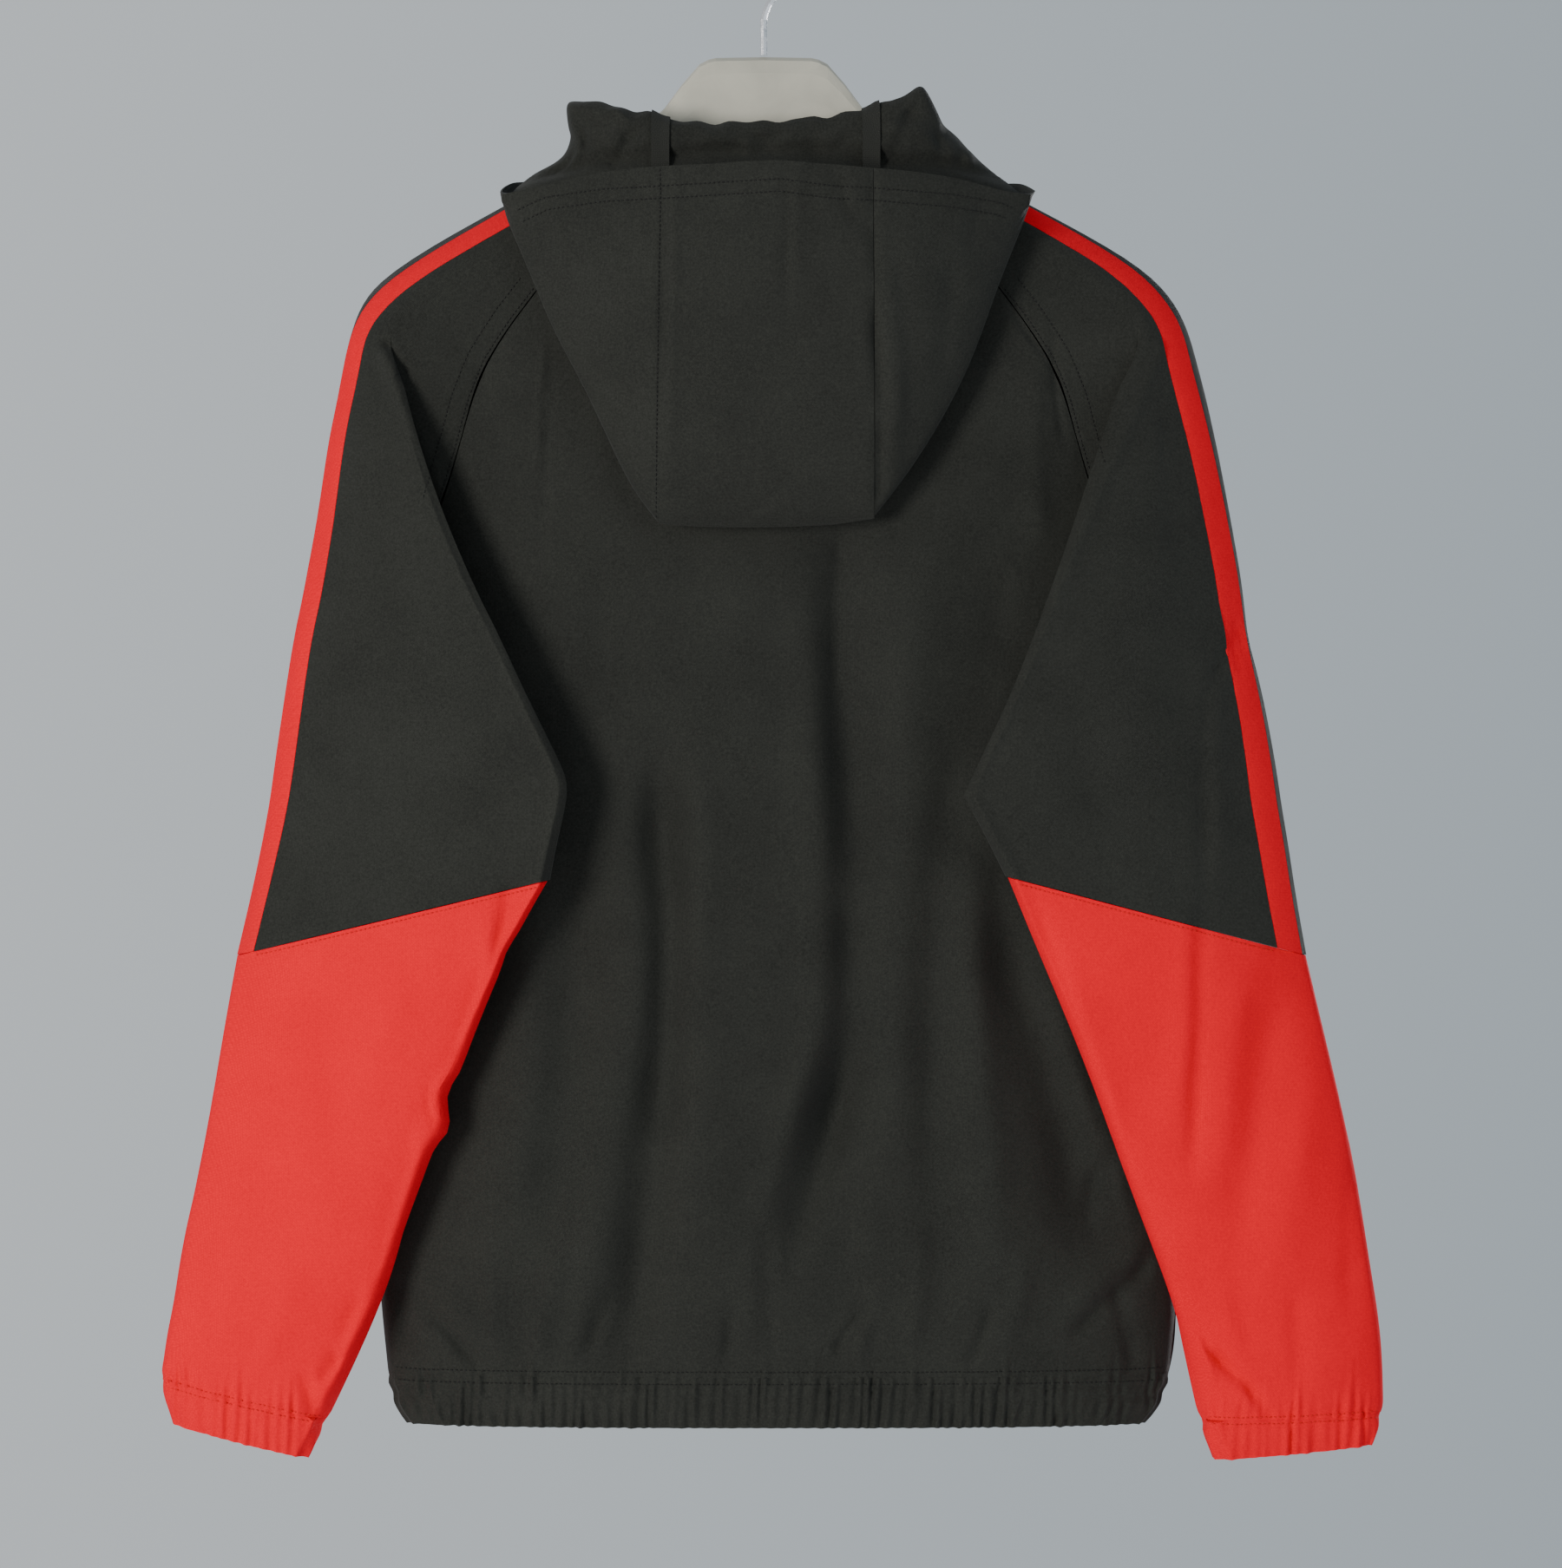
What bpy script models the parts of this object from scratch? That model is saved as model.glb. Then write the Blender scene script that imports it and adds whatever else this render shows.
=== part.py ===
"""Hooded windbreaker hanging on a hanger.

The garment hangs as flat as a jacket does on its hanger, with its back towards -Y. Every cloth
piece is a thin wall made from one of three surfaces: the body, a sleeve or the hood. A piece is a
range of that surface, so neighbours meet at a seam gap and share their form.

All sizes below are in millimetres. Z is measured down from the inside top of the hook.
"""

import math

import bmesh
import bpy
import numpy as np

MM = 0.001

# ---------------------------------------------------------------- driving dimensions
CLOTH = 1.2
CASING = 2.4
SEAM_GAP = 0.3
NECK_GAP = 1.1
ARMHOLE_GAP = 0.4
# Rows (of the raglan seam) from which the gap opens, behind and in front, and over how many.
GAP_OPENS_BACK = 8.5
GAP_OPENS_FRONT = 6.0
GAP_OPENS_OVER = 2.5
UNDERARM_GAP_BODY = 4.2
UNDERARM_GAP_SLEEVE = 2.8
CUFF_GAP = 0.8

STRIPE_WIDTH = 20.0
OVERARM_WIDTH = 32.0

HEM_TOP = 817.0
HEM_BOTTOM = 845.0
HEM_GATHERS_BACK = 62
HEM_GATHERS_FRONT = 26
CUFF_GATHERS = 20
GATHER_DEPTH = 1.6

BODY_ROUNDNESS = 2.6
ZIP_TAPE = 9.0
ZIP_CHAIN = 5.0
ZIP_CHAIN_THICK = 2.4
SLIDER_Z = 223.0
PULL_LENGTH = 26.0
PULL_ARM = 7.2
PULL_THICK = 1.4
BRIDGE_WIDTH = 2.4

WIRE_RADIUS = 2.0
HOOK_RADIUS = 22.0

# ---------------------------------------------------------------- body sections
BODY_COLUMNS = ("z", "left", "right", "back_depth", "front_depth")
BODY_ROWS = [
    (150, 208, 221, 35, 27),
    (200, 208, 221, 38, 28),
    (300, 208, 221, 42, 28),
    (377, 208, 221, 43, 27),
    (480, 211, 224, 44, 28),
    (630, 216, 229, 42, 28),
    (755, 217, 232, 40, 28),
    (797, 213, 232, 38, 27),
    (817, 211, 228, 34, 25),
    (832, 208, 224, 33, 24),
    (846, 200, 214, 31, 22),
]

# Soft troughs (+) and ridges (-) of the back: from one end to the other, half width and depth.
FOLD_COLUMNS = ("x0", "z0", "x1", "z1", "width", "depth")
BACK_FOLDS = [
    (43, 330, 47, 640, 17, 8.0),
    (-62, 470, -66, 800, 16, 5.0),
    (0, 420, -16, 790, 34, -6.0),
    (100, 430, 104, 800, 26, -4.0),
    (62, 560, 58, 790, 14, 3.5),
    (150, 560, 190, 700, 14, 4.0),
    (176, 640, 150, 790, 12, 3.5),
    (-190, 720, -158, 800, 9, 3.0),
    (-120, 500, -122, 790, 22, -3.0),
    (-122, 200, -124, 280, 8, 1.5),
]

# ---------------------------------------------------------------- raglan seam
# Back seam from the neck (row 0) to the underarm (row 11), as distance out from the neck's middle.
NECK_MIDDLE = 3.0
RAGLAN_COLUMNS = ("row", "out", "z")
RAGLAN_ROWS = [
    (0, 91, 161),
    (1, 110, 187),
    (2, 129, 212),
    (3, 143, 230),
    (4, 153, 245),
    (5, 161, 259),
    (6, 166, 274),
    (7, 170, 290),
    (8, 175, 307),
    (9, 183, 333),
    (10, 196, 358),
    (11, 222, 376),
]
UNDERARM = 11
FRONT_NECK_DROP = 22.0
FRONT_NECK_INWARD = 8.0
BACK_NECK_DIP = 7.0
FRONT_NECK_DIP = 38.0

# ---------------------------------------------------------------- sleeves
# Outlines in the front view: outer edge and inner fold, as distance out from x = 0, and depth down.
# lap: length of the cloth that laps back under the fold, down to the underarm (row 11).
OUTLINE_COLUMNS = ("row", "edge_out", "edge_z", "fold_out", "fold_z", "lap")
OUTLINE_LEFT = [
    (0, 110, 141, 101, 149, 0),
    (1, 149, 162, 133, 171, 0),
    (2, 203, 192, 176, 199, 0),
    (3, 225, 212, 200, 218, 0),
    (4, 232, 231, 212, 237, 0),
    (5, 236, 251, 203, 254, 5),
    (6, 239, 271, 198, 271, 9),
    (7, 243, 290, 193, 289, 17),
    (8, 246, 310, 186, 311, 25),
    (9, 250, 340, 176, 339, 37),
    (10, 255, 369, 163, 369, 53),
    (11, 258, 387, 154, 388, 63),
    (12, 262, 405, 145, 405, 63),
    (13, 267, 440, 129, 440, 63),
    (14, 272, 474, 111, 475, 63),
    (15, 274, 492, 106, 488, 63),
    (16, 279, 520, 110, 506, 63),
    (17, 285, 548, 114, 523, 63),
    (18, 293, 582, 117, 539, 63),
    (19, 300, 620, 137, 573, 63),
    (20, 310, 678, 165, 641, 63),
    (21, 318, 717, 181, 690, 63),
    (22, 326, 756, 199, 736, 63),
    (23, 331, 795, 214, 780, 63),
    (24, 337, 820, 243, 840, 63),
    (25, 331, 843, 254, 861, 63),
]
OUTLINE_RIGHT = [
    (0, 113, 141, 104, 149, 0),
    (1, 154, 162, 138, 171, 0),
    (2, 210, 192, 182, 199, 0),
    (3, 230, 212, 206, 218, 0),
    (4, 239, 231, 216, 234, 0),
    (5, 244, 251, 206, 250, 6),
    (6, 249, 271, 197, 268, 11),
    (7, 253, 290, 190, 288, 20),
    (8, 257, 310, 181, 314, 30),
    (9, 262, 340, 172, 341, 44),
    (10, 267, 369, 162, 369, 62),
    (11, 269, 388, 155, 388, 77),
    (12, 271, 407, 148, 407, 77),
    (13, 279, 440, 135, 440, 77),
    (14, 286, 480, 116, 480, 77),
    (15, 288, 497, 110, 493, 77),
    (16, 292, 520, 119, 509, 77),
    (17, 296, 548, 127, 525, 77),
    (18, 302, 582, 133, 537, 77),
    (19, 311, 620, 150, 578, 77),
    (20, 325, 678, 176, 640, 77),
    (21, 332, 717, 194, 690, 77),
    (22, 338, 756, 211, 735, 77),
    (23, 345, 795, 229, 781, 77),
    (24, 346, 838, 243, 840, 77),
    (25, 341, 855, 250, 862, 77),
]
# Depths of the same rows: y of the edge and of the fold, radius of the fold's turn, and the swell
# of the back and front layers.
DEPTH_COLUMNS = ("row", "edge_y", "fold_y", "turn", "back_swell", "front_swell")
DEPTH_ROWS = [
    (0, 0, -24, 0, 3, 10),
    (1, 0, -27, 0, 4, 12),
    (2, 0, -29, 0, 5, 13),
    (3, -1, -31, 0, 6, 13),
    (4, -3, -35, 0, 8, 13),
    (5, -6, -40, 2.4, 9, 13),
    (6, -9, -46, 3.0, 11, 13),
    (7, -11, -53, 3.6, 12, 13),
    (8, -13, -60, 4.5, 13, 13),
    (9, -16, -67, 5, 14, 14),
    (10, -19, -73, 5, 15, 14),
    (11, -21, -76, 5, 16, 16),
    (12, -22, -78, 5, 17, 17),
    (13, -24, -82, 5, 18, 17),
    (14, -26, -84, 5, 18, 16),
    (15, -27, -84, 5, 18, 16),
    (16, -28, -84, 6, 18, 16),
    (17, -28, -83, 7, 18, 16),
    (18, -29, -82, 8, 18, 16),
    (19, -29, -78, 11, 16, 15),
    (20, -28, -70, 14, 14, 13),
    (21, -27, -64, 15, 13, 12),
    (22, -25, -57, 16, 12, 11),
    (23, -23, -50, 16, 11, 10),
    (24, -20, -44, 16, 10, 9),
    (25, -19, -38, 13, 8, 8),
]
# Where the underarm seam runs on the layer next to the wall, from the edge (0) to the fold (1).
UNDERARM_SEAM_COLUMNS = ("row", "share")
UNDERARM_SEAM_ROWS = [(11, 0.36), (12, 0.28), (13, 0.36), (15, 0.70), (18, 0.84), (25, 0.9)]
# The stripe's outer edge: distance from the sleeve's outer edge, round towards the back.
STRIPE_COLUMNS = ("row", "left", "right")
STRIPE_ROWS = [
    (0, 10, 7),
    (2, 15, 13),
    (3, 12, 15),
    (4, 7, 15),
    (6, 5, 14),
    (9, 5, 10),
    (12, 3, 8),
    (18, -1, 8),
    (25, -1, 8),
]
UPPER_ROWS = [0, 1, 2, 3, 4, 5, 6, 7, 8, 9, 10, 11, 12, 13, 14, 15, 16, 17, 18]
FOREARM_ROWS = [18, 19, 20, 21, 22, 23, 24]
CUFF_ROWS = [24, 24.5, 25]

# ---------------------------------------------------------------- hood
# Stations round the neck, from the left front to the right front. neck: share of half the
# neckline, 0 at the middle of the back. p: top of the rolled fold. b: bottom of the pouch.
# e: face edge. angle: direction in which the cloth falls, 0 towards -Y and 90 towards +X. belly: how
# far the pouch's outer side stands out. hang: how far the falling layer is drawn in to the neck.
HOOD_COLUMNS = (
    "station", "neck", "px", "py", "pz", "bx", "by", "bz", "ex", "ey", "ez",
    "angle", "bottom_turn", "belly", "hang",
)
HOOD_ROWS = [
    (0, -0.985, -10, 37, 205, -10, 38, 201, -10, 38, 197, -170, 0.8, 0, 0),
    (1, -0.87, -44, 38, 178, -52, 48, 190, -53, 50, 186, -160, 1.6, 0, 0),
    (2, -0.74, -84, 32, 148, -97, 40, 166, -99, 42, 162, -130, 2.0, 0, 0),
    (3, -0.63, -104, 16, 126, -124, 20, 148, -127, 22, 144, -105, 2.0, 0, 0),
    (4, -0.54, -108, -4, 113, -141, -8, 151, -144, -9, 147, -80, 2.4, 0, 8),
    (5, -0.47, -105, -24, 108, -144, -41, 168, -148, -44, 161, -55, 2.6, 0, 10),
    (6, -0.42, -100, -33, 108, -134, -50, 186, -134, -56, 160, -38, 3.4, 2, 11),
    (7, -0.37, -92, -37, 109, -121, -54, 227, -114, -66, 156, -22, 5.0, 5, 6),
    (8, -0.32, -82, -41, 111, -98, -58, 266, -94, -76, 153, -10, 6.5, 8, 2),
    (9, -0.27, -70, -43, 114, -77, -61, 318, -75, -84, 151, -4, 8.0, 9, 0),
    (10, -0.22, -57, -44, 117, -58, -63, 343, -55, -88, 150, 0, 9.0, 10, 0),
    (11, -0.1, -26, -44, 121, -26, -64, 345, -24, -91, 149, 0, 9.5, 11, 0),
    (12, 0.0, 2, -44, 121, 2, -64, 345, 4, -92, 147, 0, 10.0, 11, 0),
    (13, 0.11, 30, -44, 118, 30, -64, 344, 32, -91, 149, 0, 9.5, 11, 0),
    (14, 0.22, 60, -44, 113, 61, -63, 340, 60, -88, 151, 0, 9.0, 10, 0),
    (15, 0.27, 71, -43, 108, 82, -61, 313, 80, -83, 152, 4, 8.0, 9, 0),
    (16, 0.32, 81, -41, 104, 104, -58, 276, 100, -76, 154, 10, 6.5, 8, 2),
    (17, 0.37, 88, -37, 102, 120, -54, 240, 119, -65, 157, 22, 5.0, 5, 4),
    (18, 0.42, 95, -33, 112, 133, -50, 196, 137, -56, 161, 38, 3.4, 2, 6),
    (19, 0.47, 102, -24, 119, 146, -41, 169, 152, -44, 161, 55, 2.6, 0, 4),
    (20, 0.54, 110, -4, 123, 144, -8, 152, 148, -9, 148, 80, 2.4, 0, 3),
    (21, 0.63, 106, 16, 131, 128, 20, 149, 131, 22, 145, 105, 2.0, 0, 0),
    (22, 0.74, 88, 32, 150, 102, 40, 167, 104, 42, 163, 130, 2.0, 0, 0),
    (23, 0.87, 50, 38, 178, 58, 48, 190, 59, 50, 186, 160, 1.6, 0, 0),
    (24, 0.985, 18, 37, 205, 18, 38, 201, 18, 38, 197, 170, 0.8, 0, 0),
]
HOOD_SEAMS = (10, 14)
FOLD_TURN = 5.5
BINDING_WIDTH = 10.0
BINDING_STEPS = (2, 9)
BINDING_THICK = 1.0

# ---------------------------------------------------------------- hanger
HANGER_COLUMNS = ("x", "top", "bottom", "half_depth")
HANGER_ROWS = [
    (0, 77, 128, 7),
    (27, 77.5, 129, 7),
    (36, 81, 131, 7),
    (56, 106, 139, 7),
    (84, 130, 156, 7.5),
    (110, 149, 170, 8),
    (150, 171, 192, 9),
    (195, 199, 220, 10),
    (216, 217, 232, 9),
    (222, 226, 236, 6),
]
HANGER_SIDES = 12

MATERIALS = {
    "shell_dark": ((0.022, 0.023, 0.021), 0.85, 0.0),
    "shell_red": ((0.62, 0.022, 0.02), 0.8, 0.0),
    "knit_dark": ((0.018, 0.018, 0.018), 0.95, 0.0),
    "binding_dark": ((0.03, 0.031, 0.029), 0.9, 0.0),
    "zip_dark": ((0.012, 0.012, 0.012), 0.45, 0.0),
    "hanger_cream": ((0.62, 0.58, 0.48), 0.5, 0.0),
    "steel": ((0.6, 0.6, 0.6), 0.25, 1.0),
}


# ---------------------------------------------------------------- small tools
class Table:
    """Smooth, overshoot-free curves through the rows of a table, keyed by its first column."""

    def __init__(self, names, rows):
        values = np.array(rows, dtype=float)
        self.key = values[:, 0]
        self.values = {name: values[:, i] for i, name in enumerate(names)}
        self.slopes = {name: self.find_slopes(column) for name, column in self.values.items()}

    def find_slopes(self, column):
        steps = np.diff(column) / np.diff(self.key)
        slopes = np.empty(len(column))
        slopes[0] = steps[0]
        slopes[-1] = steps[-1]
        for i in range(1, len(column) - 1):
            before, after = steps[i - 1], steps[i]
            same_way = before * after > 0
            slopes[i] = 2 * before * after / (before + after) if same_way else 0.0
        return slopes

    def at(self, name, key):
        key = min(max(key, self.key[0]), self.key[-1])
        i = min(int(np.searchsorted(self.key, key, side="right")) - 1, len(self.key) - 2)
        span = self.key[i + 1] - self.key[i]
        t = (key - self.key[i]) / span
        column, slopes = self.values[name], self.slopes[name]
        return (
            column[i] * (1 + 2 * t) * (1 - t) ** 2
            + column[i + 1] * t * t * (3 - 2 * t)
            + span * (slopes[i] * t * (1 - t) ** 2 + slopes[i + 1] * t * t * (t - 1))
        )


def mix(a, b, t):
    return a + (b - a) * t


def smooth_step(t):
    t = min(max(t, 0.0), 1.0)
    return t * t * (3 - 2 * t)


def lengths_along(points):
    steps = np.linalg.norm(np.diff(points, axis=0), axis=1)
    return np.concatenate([[0.0], np.cumsum(steps)])


def point_at(points, lengths, length):
    return np.array([np.interp(length, lengths, points[:, axis]) for axis in range(3)])


def smooth_path(controls, per_span=8):
    """A centripetal Catmull-Rom curve through the control points."""
    controls = np.array(controls, dtype=float)
    first = 2 * controls[0] - controls[1]
    last = 2 * controls[-1] - controls[-2]
    knots = np.vstack([first, controls, last])
    path = []
    for i in range(1, len(knots) - 2):
        p = knots[i - 1:i + 3]
        t = np.concatenate([[0.0], np.cumsum(np.linalg.norm(np.diff(p, axis=0), axis=1) ** 0.5)])
        for step in range(per_span):
            now = mix(t[1], t[2], step / per_span)
            a = [mix(p[k], p[k + 1], (now - t[k]) / (t[k + 1] - t[k])) for k in range(3)]
            b = [mix(a[k], a[k + 1], (now - t[k]) / (t[k + 2] - t[k])) for k in range(2)]
            path.append(mix(b[0], b[1], (now - t[1]) / (t[2] - t[1])))
    path.append(controls[-1])
    return np.array(path)


def even(start, end, count):
    return list(np.linspace(start, end, count + 1))


TO_WALL = np.array([0.0, 1.0, 0.0])


def turned(normals, way):
    """Turns the normals of a whole grid so that most of them face one way."""
    return normals if np.sum(normals @ way) > 0 else -normals


def normals_of(grid):
    """Unit normals of a grid of points, from the quads round each one."""
    down = np.diff(grid, axis=0)
    along = np.diff(grid, axis=1)
    rows, columns = grid.shape[:2]
    normals = np.zeros_like(grid)
    for i in range(rows - 1):
        for j in range(columns - 1):
            face = np.cross(down[i, j] + down[i, j + 1], along[i, j] + along[i + 1, j])
            for a, b in ((i, j), (i + 1, j), (i, j + 1), (i + 1, j + 1)):
                normals[a, b] += face
    return normals / np.linalg.norm(normals, axis=2, keepdims=True)


# ---------------------------------------------------------------- objects
def make_material(name):
    colour, roughness, metallic = MATERIALS[name]
    material = bpy.data.materials.new(name)
    material.use_nodes = True
    shader = material.node_tree.nodes["Principled BSDF"]
    shader.inputs["Base Color"].default_value = (*colour, 1.0)
    shader.inputs["Roughness"].default_value = roughness
    shader.inputs["Metallic"].default_value = metallic
    material.diffuse_color = (*colour, 1.0)
    return material


def add_object(name, bm, material):
    bmesh.ops.recalc_face_normals(bm, faces=bm.faces)
    mesh = bpy.data.meshes.new(name)
    bm.to_mesh(mesh)
    bm.free()
    mesh.shade_smooth()
    mesh.set_sharp_from_angle(angle=math.radians(40))
    mesh.materials.append(bpy.data.materials[material])
    thing = bpy.data.objects.new(name, mesh)
    bpy.context.scene.collection.objects.link(thing)
    return thing


def wall(name, outer, inner, material):
    """One closed body between two grids of points."""
    rows, columns = outer.shape[:2]
    bm = bmesh.new()
    sides = []
    for grid in (outer, inner):
        sides.append([[bm.verts.new(grid[i, j] * MM) for j in range(columns)] for i in range(rows)])
    for side in sides:
        for i in range(rows - 1):
            for j in range(columns - 1):
                bm.faces.new((side[i][j], side[i][j + 1], side[i + 1][j + 1], side[i + 1][j]))
    rim = [(0, j) for j in range(columns)]
    rim += [(i, columns - 1) for i in range(1, rows)]
    rim += [(rows - 1, j) for j in range(columns - 2, -1, -1)]
    rim += [(i, 0) for i in range(rows - 2, 0, -1)]
    for (i, j), (k, m) in zip(rim, rim[1:] + rim[:1]):
        bm.faces.new((sides[0][i][j], sides[0][k][m], sides[1][k][m], sides[1][i][j]))
    return add_object(name, bm, material)


def cloth(name, grid, normals, material, thick=CLOTH):
    """A wall of even thickness, half on each side of its surface."""
    return wall(name, grid + normals * thick / 2, grid - normals * thick / 2, material)


# ---------------------------------------------------------------- body surface
BODY = Table(BODY_COLUMNS, BODY_ROWS)
RAGLAN = Table(RAGLAN_COLUMNS, RAGLAN_ROWS)


def body_middle(z):
    return (BODY.at("right", z) - BODY.at("left", z)) / 2


def body_half_width(z):
    return (BODY.at("right", z) + BODY.at("left", z)) / 2


def fold_shape(x, z, fold):
    """How deep one fold is at x, z: round across, fading towards both ends."""
    x0, z0, x1, z1, width, depth = fold
    axis = np.array([x1 - x0, z1 - z0], dtype=float)
    length = np.linalg.norm(axis)
    axis /= length
    along = ((x - x0) * axis[0] + (z - z0) * axis[1]) / length
    if not 0 < along < 1:
        return 0.0
    across = (x - x0) * axis[1] - (z - z0) * axis[0]
    fade = smooth_step(along / 0.3) * smooth_step((1 - along) / 0.25)
    return depth * fade * math.exp(-((across / width) ** 2))


def body_y(x, z, back):
    """Depth of the body's surface at x, z; the back is towards -Y."""
    share = min(abs(x - body_middle(z)) / body_half_width(z), 1.0)
    round_off = (1 - share ** BODY_ROUNDNESS) ** (1 / BODY_ROUNDNESS)
    if not back:
        return BODY.at("front_depth", z) * round_off
    folds = sum(fold_shape(x, z, fold) for fold in BACK_FOLDS)
    return (-BODY.at("back_depth", z) + folds) * round_off


def body_point(x, z, back):
    return np.array([x, body_y(x, z, back), -z])


def raglan_point(side, row, back):
    """A point of the raglan seam, side -1 left and +1 right."""
    toward_neck = 1 - row / UNDERARM
    out = RAGLAN.at("out", row)
    z = RAGLAN.at("z", row)
    if not back:
        out -= FRONT_NECK_INWARD * toward_neck
        z += FRONT_NECK_DROP * toward_neck * row / (row + 1) + 12 * toward_neck
    out = min(out, underarm_limit(side, z) - side * NECK_MIDDLE)
    return body_point(NECK_MIDDLE + side * out, z, back)


def underarm_limit(side, z):
    """The seam never passes the body's side."""
    return BODY.at("left" if side < 0 else "right", z)


def neck_z(row, share, back):
    """Extra drop of the neckline between the two raglan seams, near the neck only."""
    dip = BACK_NECK_DIP if back else FRONT_NECK_DIP
    return dip * (1 - row / UNDERARM) ** 3 * (1 - (2 * share - 1) ** 2) ** 0.8


def across_shares(count):
    """Shares of the width, closer together towards the sides, as the surface turns there."""
    return [(1 - math.cos(math.pi * i / count)) / 2 for i in range(count + 1)]


def body_row_ring(z, shares, back):
    half = body_half_width(z)
    middle = body_middle(z)
    return [body_point(middle + (2 * share - 1) * half, z, back) for share in shares]


def body_row_armhole(row, shares, back):
    left = raglan_point(-1, row, back)
    right = raglan_point(1, row, back)
    points = []
    for share in shares:
        x = mix(left[0], right[0], share)
        z = -mix(left[2], right[2], share) + neck_z(row, share, back)
        points.append(body_point(x, z, back))
    return points


def pull_in(points, gap, end_gap=None):
    """Shortens a row of points by a gap at both ends, and spreads its points over what is left."""
    points = np.array(points)
    lengths = lengths_along(points)
    end_gap = gap if end_gap is None else end_gap
    scale = (lengths[-1] - gap - end_gap) / lengths[-1]
    return [point_at(points, lengths, gap + length * scale) for length in lengths]


def armhole_gap(row, at_underarm, back=True):
    """The raglan seam's gap opens where the walls meet at a sharp angle under the arm."""
    opens_at = GAP_OPENS_BACK if back else GAP_OPENS_FRONT
    return mix(ARMHOLE_GAP, at_underarm, smooth_step((row - opens_at) / GAP_OPENS_OVER))


BACK_ARMHOLE_ROWS = [0, 1, 2, 3, 4.5, 6, 7.5, 9, 10, 11]
BODY_LEVELS = [386, 400, 440, 485, 530, 575, 620, 665, 710, 750, 785, 816.85]
BODY_ACROSS = 22


def square_ends(normals, first_level, ends):
    """At the side seams the surface faces straight out, so both panels end face to face."""
    for column, way in ends:
        normals[first_level:, column] = (way, 0.0, 0.0)
    return normals


def make_back():
    shares = across_shares(BODY_ACROSS)
    rows = []
    for row in BACK_ARMHOLE_ROWS:
        rows.append(pull_in(body_row_armhole(row, shares, True), armhole_gap(row, UNDERARM_GAP_BODY)))
    rows += [pull_in(body_row_ring(z, shares, True), SEAM_GAP / 2) for z in BODY_LEVELS]
    grid = np.array(rows)
    normals = turned(normals_of(grid), np.array([0.0, -1.0, 0.0]))
    normals = square_ends(normals, len(BACK_ARMHOLE_ROWS), ((0, -1.0), (-1, 1.0)))
    cloth("back", grid, normals, "shell_dark")


def zip_x(z):
    """The zip runs straight from the neck's middle to the hem's."""
    return mix(NECK_MIDDLE, body_middle(HEM_TOP), (z - 200) / (HEM_TOP - 200))


def front_row(row_or_z, armhole):
    """The two ends of the front at one level, and the point on the zip's line between them."""
    if armhole:
        left = raglan_point(-1, row_or_z, False)
        right = raglan_point(1, row_or_z, False)
        z_mid = -(left[2] + right[2]) / 2 + neck_z(row_or_z, 0.5, False)
        return left, right, z_mid
    half = body_half_width(row_or_z)
    middle = body_middle(row_or_z)
    left = body_point(middle - half, row_or_z, False)
    right = body_point(middle + half, row_or_z, False)
    return left, right, row_or_z


def front_half_row(row_or_z, armhole, side, shares):
    """Points from the side (share 0) to the zip tape's outer edge (share 1)."""
    left, right, z_mid = front_row(row_or_z, armhole)
    start = left if side < 0 else right
    end_x = zip_x(z_mid) + side * (ZIP_CHAIN / 2 + ZIP_TAPE + SEAM_GAP)
    points = []
    for share in shares:
        x = mix(start[0], end_x, share)
        drop = neck_z(row_or_z, share / 2, False) if armhole else 0.0
        points.append(body_point(x, -start[2] + drop, False))
    gap = armhole_gap(row_or_z, UNDERARM_GAP_BODY, False) if armhole else SEAM_GAP / 2
    return pull_in(points, gap, 0.0)


FRONT_ARMHOLE_ROWS = [0, 1, 2, 3.5, 5, 7, 9, 10.3, 11]
FRONT_LEVELS = [386, 410, 460, 520, 580, 640, 700, 760, 800, 816.85]
FRONT_ACROSS = 9


def half_shares(count):
    return [1 - math.cos(math.pi / 2 * i / count) for i in range(count + 1)]


def make_fronts():
    for side, name in ((-1, "front_left"), (1, "front_right")):
        rows = [front_half_row(row, True, side, half_shares(FRONT_ACROSS)) for row in FRONT_ARMHOLE_ROWS]
        rows += [front_half_row(z, False, side, half_shares(FRONT_ACROSS)) for z in FRONT_LEVELS]
        grid = np.array(rows)
        normals = turned(normals_of(grid), TO_WALL)
        normals = square_ends(normals, len(FRONT_ARMHOLE_ROWS), ((0, float(side)),))
        cloth(name, grid, normals, "shell_dark")


# ---------------------------------------------------------------- hem casing
def gathered(grid, normals):
    """Outer points raised in even gathers across the columns, none at the two ends."""
    columns = grid.shape[1]
    lift = np.zeros(columns)
    for j in range(1, columns - 1):
        lift[j] = GATHER_DEPTH * (j % 2) * (0.8 + 0.2 * math.sin(2.3 * j))
    return grid + normals * lift[None, :, None]


def outward(normals, grid, centre):
    """Turns normals that point to the centre line."""
    away = grid - centre
    away[..., 2] = 0
    flip = np.where(np.sum(normals * away, axis=2, keepdims=True) < 0, -1.0, 1.0)
    return normals * flip


def evenly(points, count):
    """The same row of points again, count steps of one length."""
    points = np.array(points)
    lengths = lengths_along(points)
    return [point_at(points, lengths, length) for length in even(0, lengths[-1], count)]


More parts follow.
